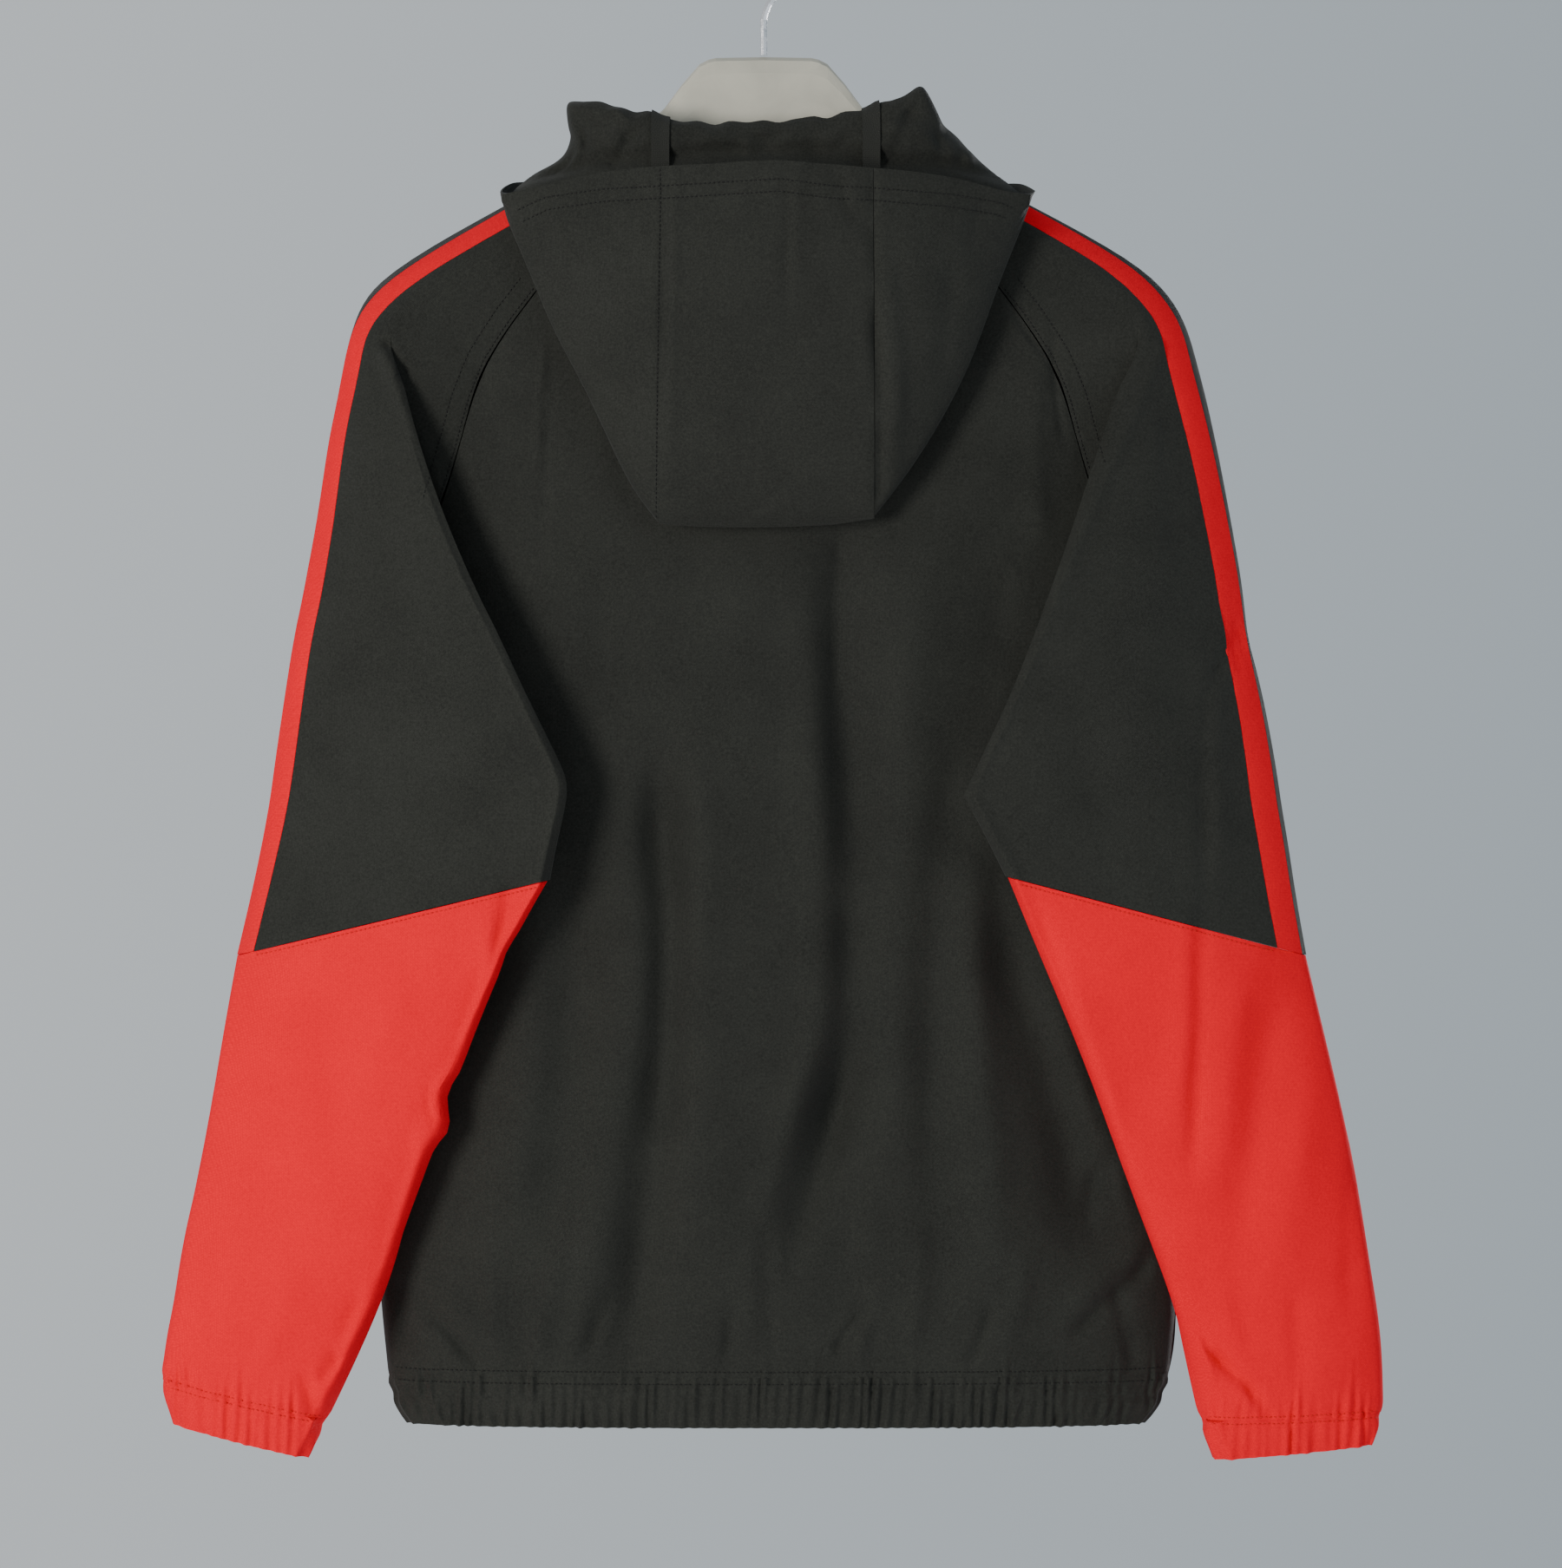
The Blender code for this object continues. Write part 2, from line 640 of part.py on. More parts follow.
def make_hem():
    levels = [HEM_TOP + 0.25, mix(HEM_TOP, HEM_BOTTOM, 0.55), HEM_BOTTOM]
    centre = np.array([body_middle(HEM_TOP), 0.0, 0.0])
    rows = [pull_in(body_row_ring(z, across_shares(60), True), SEAM_GAP / 2) for z in levels]
    rows = [evenly(row, 2 * HEM_GATHERS_BACK) for row in rows]
    make_casing("hem_back", np.array(rows), centre, "shell_dark", square=((0, -1.0), (-1, 1.0)))
    for side, name in ((-1, "hem_front_left"), (1, "hem_front_right")):
        rows = [front_half_row(z, False, side, half_shares(40)) for z in levels]
        rows = [evenly(row, 2 * HEM_GATHERS_FRONT) for row in rows]
        make_casing(name, np.array(rows), centre, "shell_dark", square=((0, float(side)),))


def make_casing(name, grid, centre, material, square=()):
    """A doubled, gathered band: plain inside and raised outside."""
    normals = outward(normals_of(grid), grid, centre)
    normals = square_ends(normals, 0, square)
    outer = gathered(grid + normals * CLOTH / 2, normals)
    inner = grid - normals * (CASING - CLOTH / 2)
    return wall(name, outer, inner, material)


# ---------------------------------------------------------------- sleeves
DEPTH = Table(DEPTH_COLUMNS, DEPTH_ROWS)
SEAM_SHARE = Table(UNDERARM_SEAM_COLUMNS, UNDERARM_SEAM_ROWS)
STRIPE = Table(STRIPE_COLUMNS, STRIPE_ROWS)
OUTLINES = {-1: Table(OUTLINE_COLUMNS, OUTLINE_LEFT), 1: Table(OUTLINE_COLUMNS, OUTLINE_RIGHT)}
VALLEY_TURN = 2.5
LAP_START = 16.0
# The columns at a fold start this far before it, and cover at least this length.
FOLD_BEFORE = 5.0
FOLD_LEAST = 8.0


def swelling(share):
    """Round at the sleeve's outer edge, flat towards its fold."""
    return 2.6 * math.sqrt(share) * (1 - share)


def layer(start, end, swell, shares):
    points = []
    for share in shares:
        point = mix(start, end, share)
        point[1] += swell * swelling(share)
        points.append(point)
    return points


def half_turn(centre, way, radius, steps=8):
    """Half a circle from one layer to the one behind it, bulging along way."""
    points = []
    for i in range(steps + 1):
        angle = math.pi * i / steps
        points.append(centre + way * radius * math.sin(angle) + TO_WALL * radius * (1 - math.cos(angle)))
    return points


class SleeveSection:
    """The sleeve's cross-section at one row, with length 0 at its outer edge and + round the back."""

    def __init__(self, side, row):
        outline = OUTLINES[side]
        self.edge = np.array([side * outline.at("edge_out", row), DEPTH.at("edge_y", row),
                              -outline.at("edge_z", row)])
        contour = np.array([side * outline.at("fold_out", row), DEPTH.at("fold_y", row),
                            -outline.at("fold_z", row)])
        way = (contour - self.edge) * (1, 0, 1)
        self.inward = way / np.linalg.norm(way)
        self.turn = DEPTH.at("turn", row)
        self.fold = contour - self.inward * self.turn
        shares = [(i / 24) ** 2 for i in range(25)]
        back = layer(self.edge, self.fold, -DEPTH.at("back_swell", row), shares)
        self.fold_length = lengths_along(np.array(back))[-1]
        back += half_turn(self.fold, self.inward, self.turn)[1:]
        swell = DEPTH.at("front_swell", row)
        self.seam_gap = SEAM_GAP / 2
        self.front_seam_gap = SEAM_GAP / 2
        if row <= UNDERARM:
            self.seam_gap = armhole_gap(row, UNDERARM_GAP_SLEEVE)
            self.front_seam_gap = armhole_gap(row, UNDERARM_GAP_SLEEVE, False)
            seam = raglan_point(side, row, True)
            valley = self.fold - self.inward * outline.at("lap", row)
            turn = VALLEY_TURN * min(1.0, self.turn / 3)
            beside_fold = self.fold[1] + 2 * self.turn
            beside_seam = seam[1] - 2 * turn - 0.5 * min(1.0, self.turn)
            valley[1] = mix(beside_fold, beside_seam, smooth_step(outline.at("lap", row) / LAP_START))
            back += half_turn(valley, -self.inward, turn)
            back += [mix(back[-1], seam, i / 8) for i in range(1, 9)]
            front = layer(self.edge, raglan_point(side, row, False), swell, shares)
        else:
            whole = layer(self.edge, back[-1], swell, shares)
            cut = SEAM_SHARE.at("share", row)
            lengths = lengths_along(np.array(whole))
            at = lengths[-1] * cut
            seam = point_at(np.array(whole), lengths, at)
            front = [p for p, length in zip(whole, lengths) if length < at - 0.5] + [seam]
            tail = [p for p, length in zip(whole, lengths) if length > at + 0.5]
            back += tail[::-1][1:] + [seam]
        path = front[::-1] + back[1:]
        keep = [path[0]]
        for point in path[1:]:
            if np.linalg.norm(point - keep[-1]) > 0.05:
                keep.append(point)
        self.path = np.array(keep)
        lengths = lengths_along(self.path)
        edge_index = int(np.argmin(np.linalg.norm(self.path - self.edge, axis=1)))
        self.lengths = lengths - lengths[edge_index]
        self.front_end = self.lengths[0]
        self.back_end = self.lengths[-1]

    def point(self, length):
        return point_at(self.path, self.lengths, length)


def sleeve_columns(section, stripe_at, ranges):
    """Lengths round the sleeve of each column, range by range, from the front seam to the back."""
    gap = SEAM_GAP / 2
    knit_front = stripe_at - OVERARM_WIDTH
    stripe_back = stripe_at + STRIPE_WIDTH
    fold = section.fold_length
    turn = math.pi * section.turn
    fold_from = max(fold, stripe_back + 2 * FOLD_BEFORE) - FOLD_BEFORE
    fold_to = max(fold + turn + 3, fold_from + FOLD_LEAST)
    cuts = {
        "front": even(section.front_end + section.front_seam_gap, knit_front - gap, 5),
        "overarm": even(knit_front + gap, stripe_at - gap, 4),
        "stripe": even(stripe_at + gap, stripe_back - gap, 2),
        "back": even(stripe_back + gap, fold_from, 4)[:-1]
        + even(fold_from, fold_to, 4)
        + even(fold_to, section.back_end - section.seam_gap, 5)[1:],
        "whole": even(section.front_end + gap, -10, 5)[:-1]
        + even(-10, 10, 4)[:-1]
        + even(10, fold_from, 5)[:-1]
        + even(fold_from, fold_to, 4)
        + even(fold_to, section.back_end - gap, 3)[1:],
    }
    lengths = []
    spans = {}
    for name in ranges:
        spans[name] = (len(lengths), len(lengths) + len(cuts[name]))
        lengths += cuts[name]
    return lengths, spans


def sleeve_grid(side, rows, ranges):
    grid = []
    spans = {}
    for row in rows:
        section = SleeveSection(side, row)
        stripe_at = STRIPE.at("left" if side < 0 else "right", row)
        lengths, spans = sleeve_columns(section, stripe_at, ranges)
        grid.append([section.point(length) for length in lengths])
    return np.array(grid), spans


def shorten(grid, first_gap, last_gap):
    """Moves the first and last rows in by a gap, towards the rows next to them."""
    grid = grid.copy()
    for end, step, gap in ((0, 1, first_gap), (-1, -1, last_gap)):
        neighbour = grid[1] if end == 0 else grid[-2]
        way = neighbour - grid[end]
        grid[end] = grid[end] + way / np.linalg.norm(way, axis=1, keepdims=True) * gap
    return grid


def share_normals(normals, seams):
    """The two columns on either side of a seam face the same way."""
    for column in seams:
        both = normals[:, column - 1] + normals[:, column]
        both /= np.linalg.norm(both, axis=1, keepdims=True)
        normals[:, column - 1] = both
        normals[:, column] = both


def make_upper_sleeve(side, word):
    grid, spans = sleeve_grid(side, UPPER_ROWS, ("front", "overarm", "stripe", "back"))
    grid = shorten(grid, 0.0, SEAM_GAP / 2)
    normals = normals_of(grid)
    share_normals(normals, [spans[key][0] for key in ("overarm", "stripe", "back")])
    pieces = (
        ("front", f"sleeve_front_{word}", "shell_dark"),
        ("overarm", f"overarm_{word}", "knit_dark"),
        ("stripe", f"stripe_{word}", "shell_red"),
        ("back", f"sleeve_back_{word}", "shell_dark"),
    )
    for key, name, material in pieces:
        first, last = spans[key]
        cloth(name, grid[:, first:last], normals[:, first:last], material)


def make_forearm(side, word):
    grid, _ = sleeve_grid(side, FOREARM_ROWS, ("whole",))
    grid = shorten(grid, SEAM_GAP, CUFF_GAP / 2)
    cloth(f"forearm_{word}", grid, normals_of(grid), "shell_red")


def make_cuff(side, word):
    rows = []
    for row in CUFF_ROWS:
        section = SleeveSection(side, row)
        first = section.front_end + SEAM_GAP / 2
        last = section.back_end - SEAM_GAP / 2
        rows.append([section.point(length) for length in even(first, last, 2 * CUFF_GATHERS)])
    grid = shorten(np.array(rows), CUFF_GAP / 2, 0.0)
    make_casing(f"cuff_{word}", grid, grid.mean(axis=(0, 1)), "shell_red")


# ---------------------------------------------------------------- hood
HOOD = Table(HOOD_COLUMNS, HOOD_ROWS)


def neckline_ring():
    """The neckline from the left of the zip, round the back, to its right, and where its middle is."""
    left_front = [front_neck_point(-1, share) for share in even(1, 0.02, 12)]
    left_sleeve = sleeve_neck_points(-1)
    shares = even(0, 1, 24)
    back = [p for p in body_row_armhole(0, shares, True)]
    right_sleeve = sleeve_neck_points(1)[::-1]
    right_front = [front_neck_point(1, share) for share in even(0.02, 1, 12)]
    ring = np.array(left_front + left_sleeve + back + right_sleeve + right_front)
    lengths = lengths_along(ring)
    middle = lengths[len(left_front) + len(left_sleeve) + 12]
    return ring, lengths, middle


def front_neck_point(side, share):
    left, right, z_mid = front_row(0, True)
    start = left if side < 0 else right
    end_x = zip_x(z_mid) + side * (ZIP_CHAIN / 2 + ZIP_TAPE + SEAM_GAP)
    x = mix(start[0], end_x, share)
    return body_point(x, -start[2] + neck_z(0, share / 2, False), False)


def sleeve_neck_points(side):
    section = SleeveSection(side, 0)
    lengths = even(section.front_end + 3, section.back_end - 3, 14)
    return [section.point(length) for length in lengths]


def hood_path(station, ring):
    """The hood's section at one station, from the neckline over the fold and round the pouch."""
    points, lengths, middle = ring
    value = {name: HOOD.at(name, station) for name in HOOD_COLUMNS}
    half = middle if value["neck"] < 0 else lengths[-1] - middle
    neck = point_at(points, lengths, middle + value["neck"] * half)
    angle = math.radians(value["angle"])
    fall = np.array([math.sin(angle), -math.cos(angle), 0.0])
    top = np.array([value["px"], value["py"], -value["pz"]])
    bottom = np.array([value["bx"], value["by"], -value["bz"]])
    edge = np.array([value["ex"], value["ey"], -value["ez"]])
    down = np.array([0.0, 0.0, -1.0])
    near_front = smooth_step((abs(value["neck"]) - 0.63) / 0.3)
    turn = mix(FOLD_TURN, 1.6, near_front)
    low = value["bottom_turn"]
    rise = neck - down * NECK_GAP
    top_in = top - fall * turn + down * turn * 1.2
    top_out = top + fall * turn + down * turn * 1.2
    bottom_in = bottom - fall * low - down * low * 1.1
    bottom_out = bottom + fall * low - down * low * 1.1
    inner_middle = mix(top_out, bottom_in, 0.5) - fall * value["hang"] - down * value["hang"] * 0.4
    belly = mix(bottom_out, edge, 0.45) + fall * value["belly"]
    rise_middle = mix(rise, top_in, 0.5)
    inner = [rise, rise_middle, top_in, top, top_out, inner_middle, bottom_in]
    outer = [bottom, bottom_out, belly, edge]
    path = smooth_path(inner + outer)
    marks = [0, 16, 24, 32, 48, 56, 64, 80]
    return path, [lengths_along(path)[mark] for mark in marks]


HOOD_STEPS = (2, 2, 2, 5, 2, 2, 5)


def hood_row(station, ring):
    path, marks = hood_path(station, ring)
    lengths = lengths_along(path)
    at = []
    for start, end, count in zip(marks, marks[1:], HOOD_STEPS):
        at += even(start, end, count)[:-1]
    at.append(marks[-1])
    return [point_at(path, lengths, length) for length in at]


def make_hood(ring):
    left_seam, right_seam = HOOD_SEAMS
    left = even(0, left_seam, 11)
    middle = even(left_seam, right_seam, 6)
    right = even(right_seam, 24, 11)
    stations = left + middle + right
    grid = np.array([hood_row(station, ring) for station in stations])
    first = len(left)
    second = first + len(middle)
    for index, step in ((first - 1, -1), (first, 1), (second - 1, -1), (second, 1)):
        way = grid[index + step] - grid[index]
        grid[index] += way / np.linalg.norm(way, axis=1, keepdims=True) * SEAM_GAP * 0.7
    normals = turned(normals_of(grid), TO_WALL)
    share_normals(normals.transpose(1, 0, 2), [first, second])
    spans = (
        ("hood_side_left", 0, first),
        ("hood_centre", first, second),
        ("hood_side_right", second, len(stations)),
    )
    for name, start, end in spans:
        cloth(name, grid[start:end], normals[start:end], "shell_dark")
    for seam, name in ((first, "binding_left"), (second, "binding_right")):
        make_binding(name, grid[seam - 2:seam + 2], normals[seam])


def make_binding(name, rows, normals):
    """A narrow tape over a hood seam, on the side that shows above the pouch.

    rows are the hood's two stations on each side of the seam; the tape lies on their facets.
    """
    before, near, far, after = rows[:, BINDING_STEPS[0]:BINDING_STEPS[1]]
    normals = normals[BINDING_STEPS[0]:BINDING_STEPS[1]]
    to_before = (before - near) / np.linalg.norm(before - near, axis=1, keepdims=True)
    to_after = (after - far) / np.linalg.norm(after - far, axis=1, keepdims=True)
    grid = np.array([near + to_before * BINDING_WIDTH / 2, far + to_after * BINDING_WIDTH / 2])
    lift = np.array([normals, normals])
    inside = CLOTH / 2 + SEAM_GAP
    wall(name, grid + lift * (inside + BINDING_THICK), grid + lift * inside, "binding_dark")


# ---------------------------------------------------------------- zip
def make_zip():
    top = front_row(0, True)[2]
    levels = [top + 1.0] + even(260, HEM_BOTTOM, 8)
    outer = ZIP_CHAIN / 2 + ZIP_TAPE
    inner = ZIP_CHAIN / 2 + SEAM_GAP
    for side, name in ((-1, "zip_tape_left"), (1, "zip_tape_right")):
        offsets = even(inner, outer, 2)
        grid = np.array([[body_point(zip_x(z) + side * o, z, False) for o in offsets] for z in levels])
        cloth(name, grid, normals_of(grid), "zip_dark", 1.0)
    offsets = even(-ZIP_CHAIN / 2, ZIP_CHAIN / 2, 2)
    grid = np.array([[body_point(zip_x(z) + o, z, False) for o in offsets] for z in levels])
    cloth("zip_chain", grid, normals_of(grid), "zip_dark", ZIP_CHAIN_THICK)


def box(bm, low, high):
    corners = [(x, y, z) for x in (low[0], high[0]) for y in (low[1], high[1]) for z in (low[2], high[2])]
    verts = [bm.verts.new(np.array(corner) * MM) for corner in corners]
    for face in ((0, 1, 3, 2), (4, 6, 7, 5), (0, 4, 5, 1), (2, 3, 7, 6), (0, 2, 6, 4), (1, 5, 7, 3)):
        bm.faces.new([verts[i] for i in face])


def prism_x(bm, outline, x0, x1):
    """A prism along X over an outline of (y, z) points."""
    ends = [[bm.verts.new(np.array([x, y, z]) * MM) for y, z in outline] for x in (x0, x1)]
    count = len(outline)
    for i in range(count):
        j = (i + 1) % count
        bm.faces.new((ends[0][i], ends[0][j], ends[1][j], ends[1][i]))
    bm.faces.new(ends[0])
    bm.faces.new(ends[1])


def unite(target, tool):
    """A solid union; the tool's object is used up."""
    modifier = target.modifiers.new("union", "BOOLEAN")
    modifier.operation = "UNION"
    modifier.solver = "EXACT"
    modifier.object = tool
    mesh = bpy.data.meshes.new_from_object(target.evaluated_get(bpy.context.evaluated_depsgraph_get()))
    target.modifiers.clear()
    target.data = mesh
    bpy.data.objects.remove(tool)


def slider_place():
    """Middle of the slider's back, just clear of the chain."""
    y = body_y(zip_x(SLIDER_Z), SLIDER_Z, False) + ZIP_CHAIN_THICK / 2 + 0.9
    return np.array([zip_x(SLIDER_Z), y, -SLIDER_Z])


def make_slider():
    """The slider's plate with its bridge, an n-shaped strap that the pull hangs from."""
    x, y, z = slider_place()
    bm = bmesh.new()
    box(bm, (x - 4.6, y, z - 6), (x + 4.6, y + 2.2, z + 6))
    bmesh.ops.recalc_face_normals(bm, faces=bm.faces)
    bmesh.ops.bevel(bm, geom=bm.edges[:], offset=0.5 * MM, segments=1, affect="EDGES")
    slider = add_object("zip_slider", bm, "zip_dark")
    bm = bmesh.new()
    bridge = ((2.0, -3.0), (4.6, -3.0), (5.8, -2.0), (5.8, 3.2), (4.6, 4.4), (2.0, 4.4),
              (2.0, 3.2), (4.4, 3.2), (4.6, 3.0), (4.6, -1.6), (4.4, -1.8), (2.0, -1.8))
    prism_x(bm, [(y + dy, z + dz) for dy, dz in bridge], x - BRIDGE_WIDTH / 2, x + BRIDGE_WIDTH / 2)
    unite(slider, add_object("zip_bridge", bm, "zip_dark"))


def pull_axis():
    """The pull turns about its own top bar, which lies in the bridge."""
    return slider_place() + np.array([0.0, 3.4, -0.6])


def make_pull():
    x, y, z = pull_axis()
    bm = bmesh.new()
    bar = [(y + 0.8 * math.cos(a), z + 0.8 * math.sin(a)) for a in np.arange(8) * math.pi / 4]
    prism_x(bm, bar, x - 3.6, x + 3.6)
    pull = add_object("zip_pull", bm, "zip_dark")
    half = PULL_THICK / 2
    pieces = (
        ((-3.6, -half, -PULL_ARM), (-2.0, half, -0.2)),
        ((2.0, -half, -PULL_ARM), (3.6, half, -0.2)),
        ((-3.6, -half, -PULL_LENGTH), (3.6, half, 0.8 - PULL_ARM)),
    )
    for low, high in pieces:
        bm = bmesh.new()
        box(bm, pull_axis() + low, pull_axis() + high)
        unite(pull, add_object("zip_pull_arm", bm, "zip_dark"))


# ---------------------------------------------------------------- hanger
def superellipse(half_depth, half_height, steps):
    points = []
    for i in range(steps):
        angle = 2 * math.pi * i / steps
        c, s = math.cos(angle), math.sin(angle)
        across = half_depth * math.copysign(abs(c) ** 0.7, c)
        points.append((across, half_height * math.copysign(abs(s) ** 0.7, s)))
    return points


def make_hanger():
    table = Table(HANGER_COLUMNS, HANGER_ROWS)
    half = [0, 27, 31, 36, 46, 56, 84, 110, 150, 195, 207, 216, 222]
    xs = [-x for x in half[:0:-1]] + half
    bm = bmesh.new()
    rings = []
    for x in xs:
        top = -table.at("top", abs(x))
        bottom = -table.at("bottom", abs(x))
        shape = superellipse(table.at("half_depth", abs(x)), (top - bottom) / 2, HANGER_SIDES)
        rings.append([bm.verts.new(np.array([x, y, (top + bottom) / 2 + z]) * MM) for y, z in shape])
    for a, b in zip(rings, rings[1:]):
        for i in range(HANGER_SIDES):
            j = (i + 1) % HANGER_SIDES
            bm.faces.new((a[i], a[j], b[j], b[i]))
    bm.faces.new(rings[0])
    bm.faces.new(rings[-1])
    add_object("hanger", bm, "hanger_cream")


def make_hook():
    """A bent wire: up from the hanger, round the right of a circle and over to its open end."""
    centre = np.array([0.0, 0.0, -(HOOK_RADIUS - WIRE_RADIUS)])
    controls = [(0, 0, -76.0), (0, 0, -66), (0, 0, -56), (3, 0, -47)]
    for degrees in range(-62, 216, 18):
        angle = math.radians(degrees)
        controls.append(tuple(centre + HOOK_RADIUS * np.array([math.cos(angle), 0, math.sin(angle)])))
    path = smooth_path(controls, 2)
    curve = bpy.data.curves.new("hook", "CURVE")
    curve.dimensions = "3D"
    curve.bevel_depth = WIRE_RADIUS * MM
    curve.bevel_resolution = 2
    curve.use_fill_caps = True
    spline = curve.splines.new("POLY")
    spline.points.add(len(path) - 1)
    for point, place in zip(spline.points, path):
        point.co = (*(place * MM), 1.0)
    curve.materials.append(bpy.data.materials["steel"])
    hook = bpy.data.objects.new("hook", curve)
    bpy.context.scene.collection.objects.link(hook)


def main():
    for thing in list(bpy.data.objects):
        bpy.data.objects.remove(thing, do_unlink=True)
    for name in MATERIALS:
        make_material(name)
    make_back()
    make_fronts()
    make_hem()
    for side, word in ((-1, "left"), (1, "right")):
        make_upper_sleeve(side, word)
        make_forearm(side, word)
        make_cuff(side, word)
    ring = neckline_ring()
    make_hood(ring)
    make_zip()
    make_slider()
    make_pull()
    make_hanger()
    make_hook()


main()
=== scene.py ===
"""Looks of a hooded windbreaker that hangs on its hanger, seen from the back."""

import itertools
import math

import bmesh
import bpy
import numpy as np
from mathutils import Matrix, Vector, kdtree
from mathutils.bvhtree import BVHTree


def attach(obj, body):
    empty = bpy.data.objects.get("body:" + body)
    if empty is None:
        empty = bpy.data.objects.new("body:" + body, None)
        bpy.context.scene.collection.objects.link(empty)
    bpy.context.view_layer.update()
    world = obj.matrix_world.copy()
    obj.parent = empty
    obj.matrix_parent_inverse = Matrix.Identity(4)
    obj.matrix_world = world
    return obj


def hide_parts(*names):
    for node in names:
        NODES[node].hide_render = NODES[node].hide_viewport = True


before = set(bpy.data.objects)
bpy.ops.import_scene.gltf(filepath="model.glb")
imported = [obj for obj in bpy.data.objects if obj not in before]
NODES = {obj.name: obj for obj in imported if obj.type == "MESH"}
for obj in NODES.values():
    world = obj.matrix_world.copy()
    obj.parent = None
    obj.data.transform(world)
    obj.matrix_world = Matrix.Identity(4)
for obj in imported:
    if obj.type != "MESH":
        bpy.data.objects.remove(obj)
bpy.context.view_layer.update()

MM = 0.001

# ---- camera, room and lights
# The eye behind, in millimetres: how far off it is, its x, and how far below the hook's inside. It looks
# along +Y, and the eye in front is its mirror image.
EYE = 2600.0
EYE_X = 9.78
EYE_DOWN = 486.6
BEHIND, IN_FRONT = -1, 1
# Everything else here is in metres.
FRAME_WIDTH = 0.8802
SENSOR = 36.0
# The room is lighter to the left and darker to the right, and turns between these two directions.
ROOM_TURN = 0.25
ROOM_LEFT = (0.62, 0.655, 0.68)
ROOM_RIGHT = (0.35, 0.41, 0.455)
FLOOR_LEVEL = -1.5
FLOOR_RADIUS = 3.0
# Lights: name, place, what it faces, width, watts and colour.
LIGHTS = (
    ("key", (-1.62, -2.6, -0.45), (0, 0, -0.45), 0.9, 84, (1.0, 0.98, 0.94)),
    ("fill", (1.9, -2.6, -0.3), (0, 0, -0.5), 1.8, 7, (0.93, 0.96, 1.0)),
    ("side", (2.4, -0.7, -0.1), (0, 0, -0.45), 0.8, 10, (1.0, 1.0, 1.0)),
    ("behind", (1.7, 2.5, -0.3), (0, 0, -0.5), 1.0, 70, (1.0, 1.0, 1.0)),
)

# ---- cloth
# Sizes in millimetres. The solids' triangles are joined into cells where they are this flat, and edges
# that turn further stay sharp, on a wall's rim and on its fine cells.
FLAT_ANGLE = math.radians(40)
RIM_ANGLE = math.radians(48)
SHARP_ANGLE = math.radians(60)
MERGE_WITHIN = 0.01
# How far apart points along a rim are, on the cells and as shares of a fine cell's edge.
RIM_PITCH = 2
EDGE_SHARES = (0, 0.25, 0.5, 0.75, 1)
# Levels below which a piece's cells are halved.
FINER_BELOW = {"back": -782.0, "front": -782.0, "forearm": -792.0}
# In the tables, {} stands for each side in turn.
SIDES = ("left", "right")
# Pieces whose rim is drawn onto the rim of the piece beside them: the widest gap that is closed, how
# far from the rim they yield, and the levels between which they do.
DRAWN_TO = (
    ("hem_back", "back", 2.2, 7.0, (-900.0, 0.0)),
    ("hem_front_{}", "front_{}", 2.2, 7.0, (-900.0, 0.0)),
    ("cuff_{}", "forearm_{}", 2.2, 7.0, (-900.0, 0.0)),
    ("hood_side_left", "hood_centre", 2.2, 7.0, (-900.0, 0.0)),
    ("sleeve_front_{}", "front_{}", 6.8, 16.0, (-374.0, -262.0)),
    ("hood_side_{}", "front_{}", 3.4, 9.0, (-240.0, 0.0)),
    ("zip_tape_{}", "front_{}", 1.2, 3.0, (-900.0, 0.0)),
)
# Cloth this near behind the outermost layer moves with it, and cloth this far behind it is left alone.
LAYER_NEAR = 3.0
LAYER_FAR = 9.0
# The grid on which the layers' depth is read: its corner, its cells, the cells round a place over which
# it is averaged, and how far off rays start.
LAYER_LOW = (-360.0, -900.0)
LAYER_CELL = 3.0
LAYER_COUNT = (240, 300)
LAYER_BLUR = (-2, -1, 0, 1, 2)
RAY_START = 500.0
# Random values along each side of the lattice that blotches are read from.
LATTICE = 32
# Blotches of all cloth, and crumples of the hood's rolled top: height, size and seed.
UNEVEN = ((0.35, 31.0, 1), (0.16, 12.0, 2))
CRUMPLES = ((2.4, 15.0, 8), (1.0, 7.0, 9))
# The hood's rolled top is crumpled above this level, and fully so this far above it. Its outline's
# blotches move it up and down.
RIDGE_LEVEL = -146.0
RIDGE_FADE = 16
RIDGE_WAVE = (1.8, 9.0, 7)
# Rims closer than this belong to one seam. Cloth dips there, and puckers beside it.
SEAM_REACH = 2.4
SEAM_DIP, SEAM_WIDTH = 0.3, 2.0
PUCKER, PUCKER_WIDTH, PUCKER_SIZE, PUCKER_SEED = 0.35, 8.0, 4.5, 5
# A casing is turned up from the cloth above it, so no seam dips there.
CASINGS = ("hem", "cuff")
# Where the sleeves' folds begin, and how far round them the cloth is eased.
FOLD_STARTS = {
    "sleeve_back_left": ((-208, -35, -246), (-206, -37, -256)),
    "sleeve_back_right": ((208, -35, -245), (207, -37, -255)),
}
EASE_REACH = 14.0
EASE_TIMES = 24
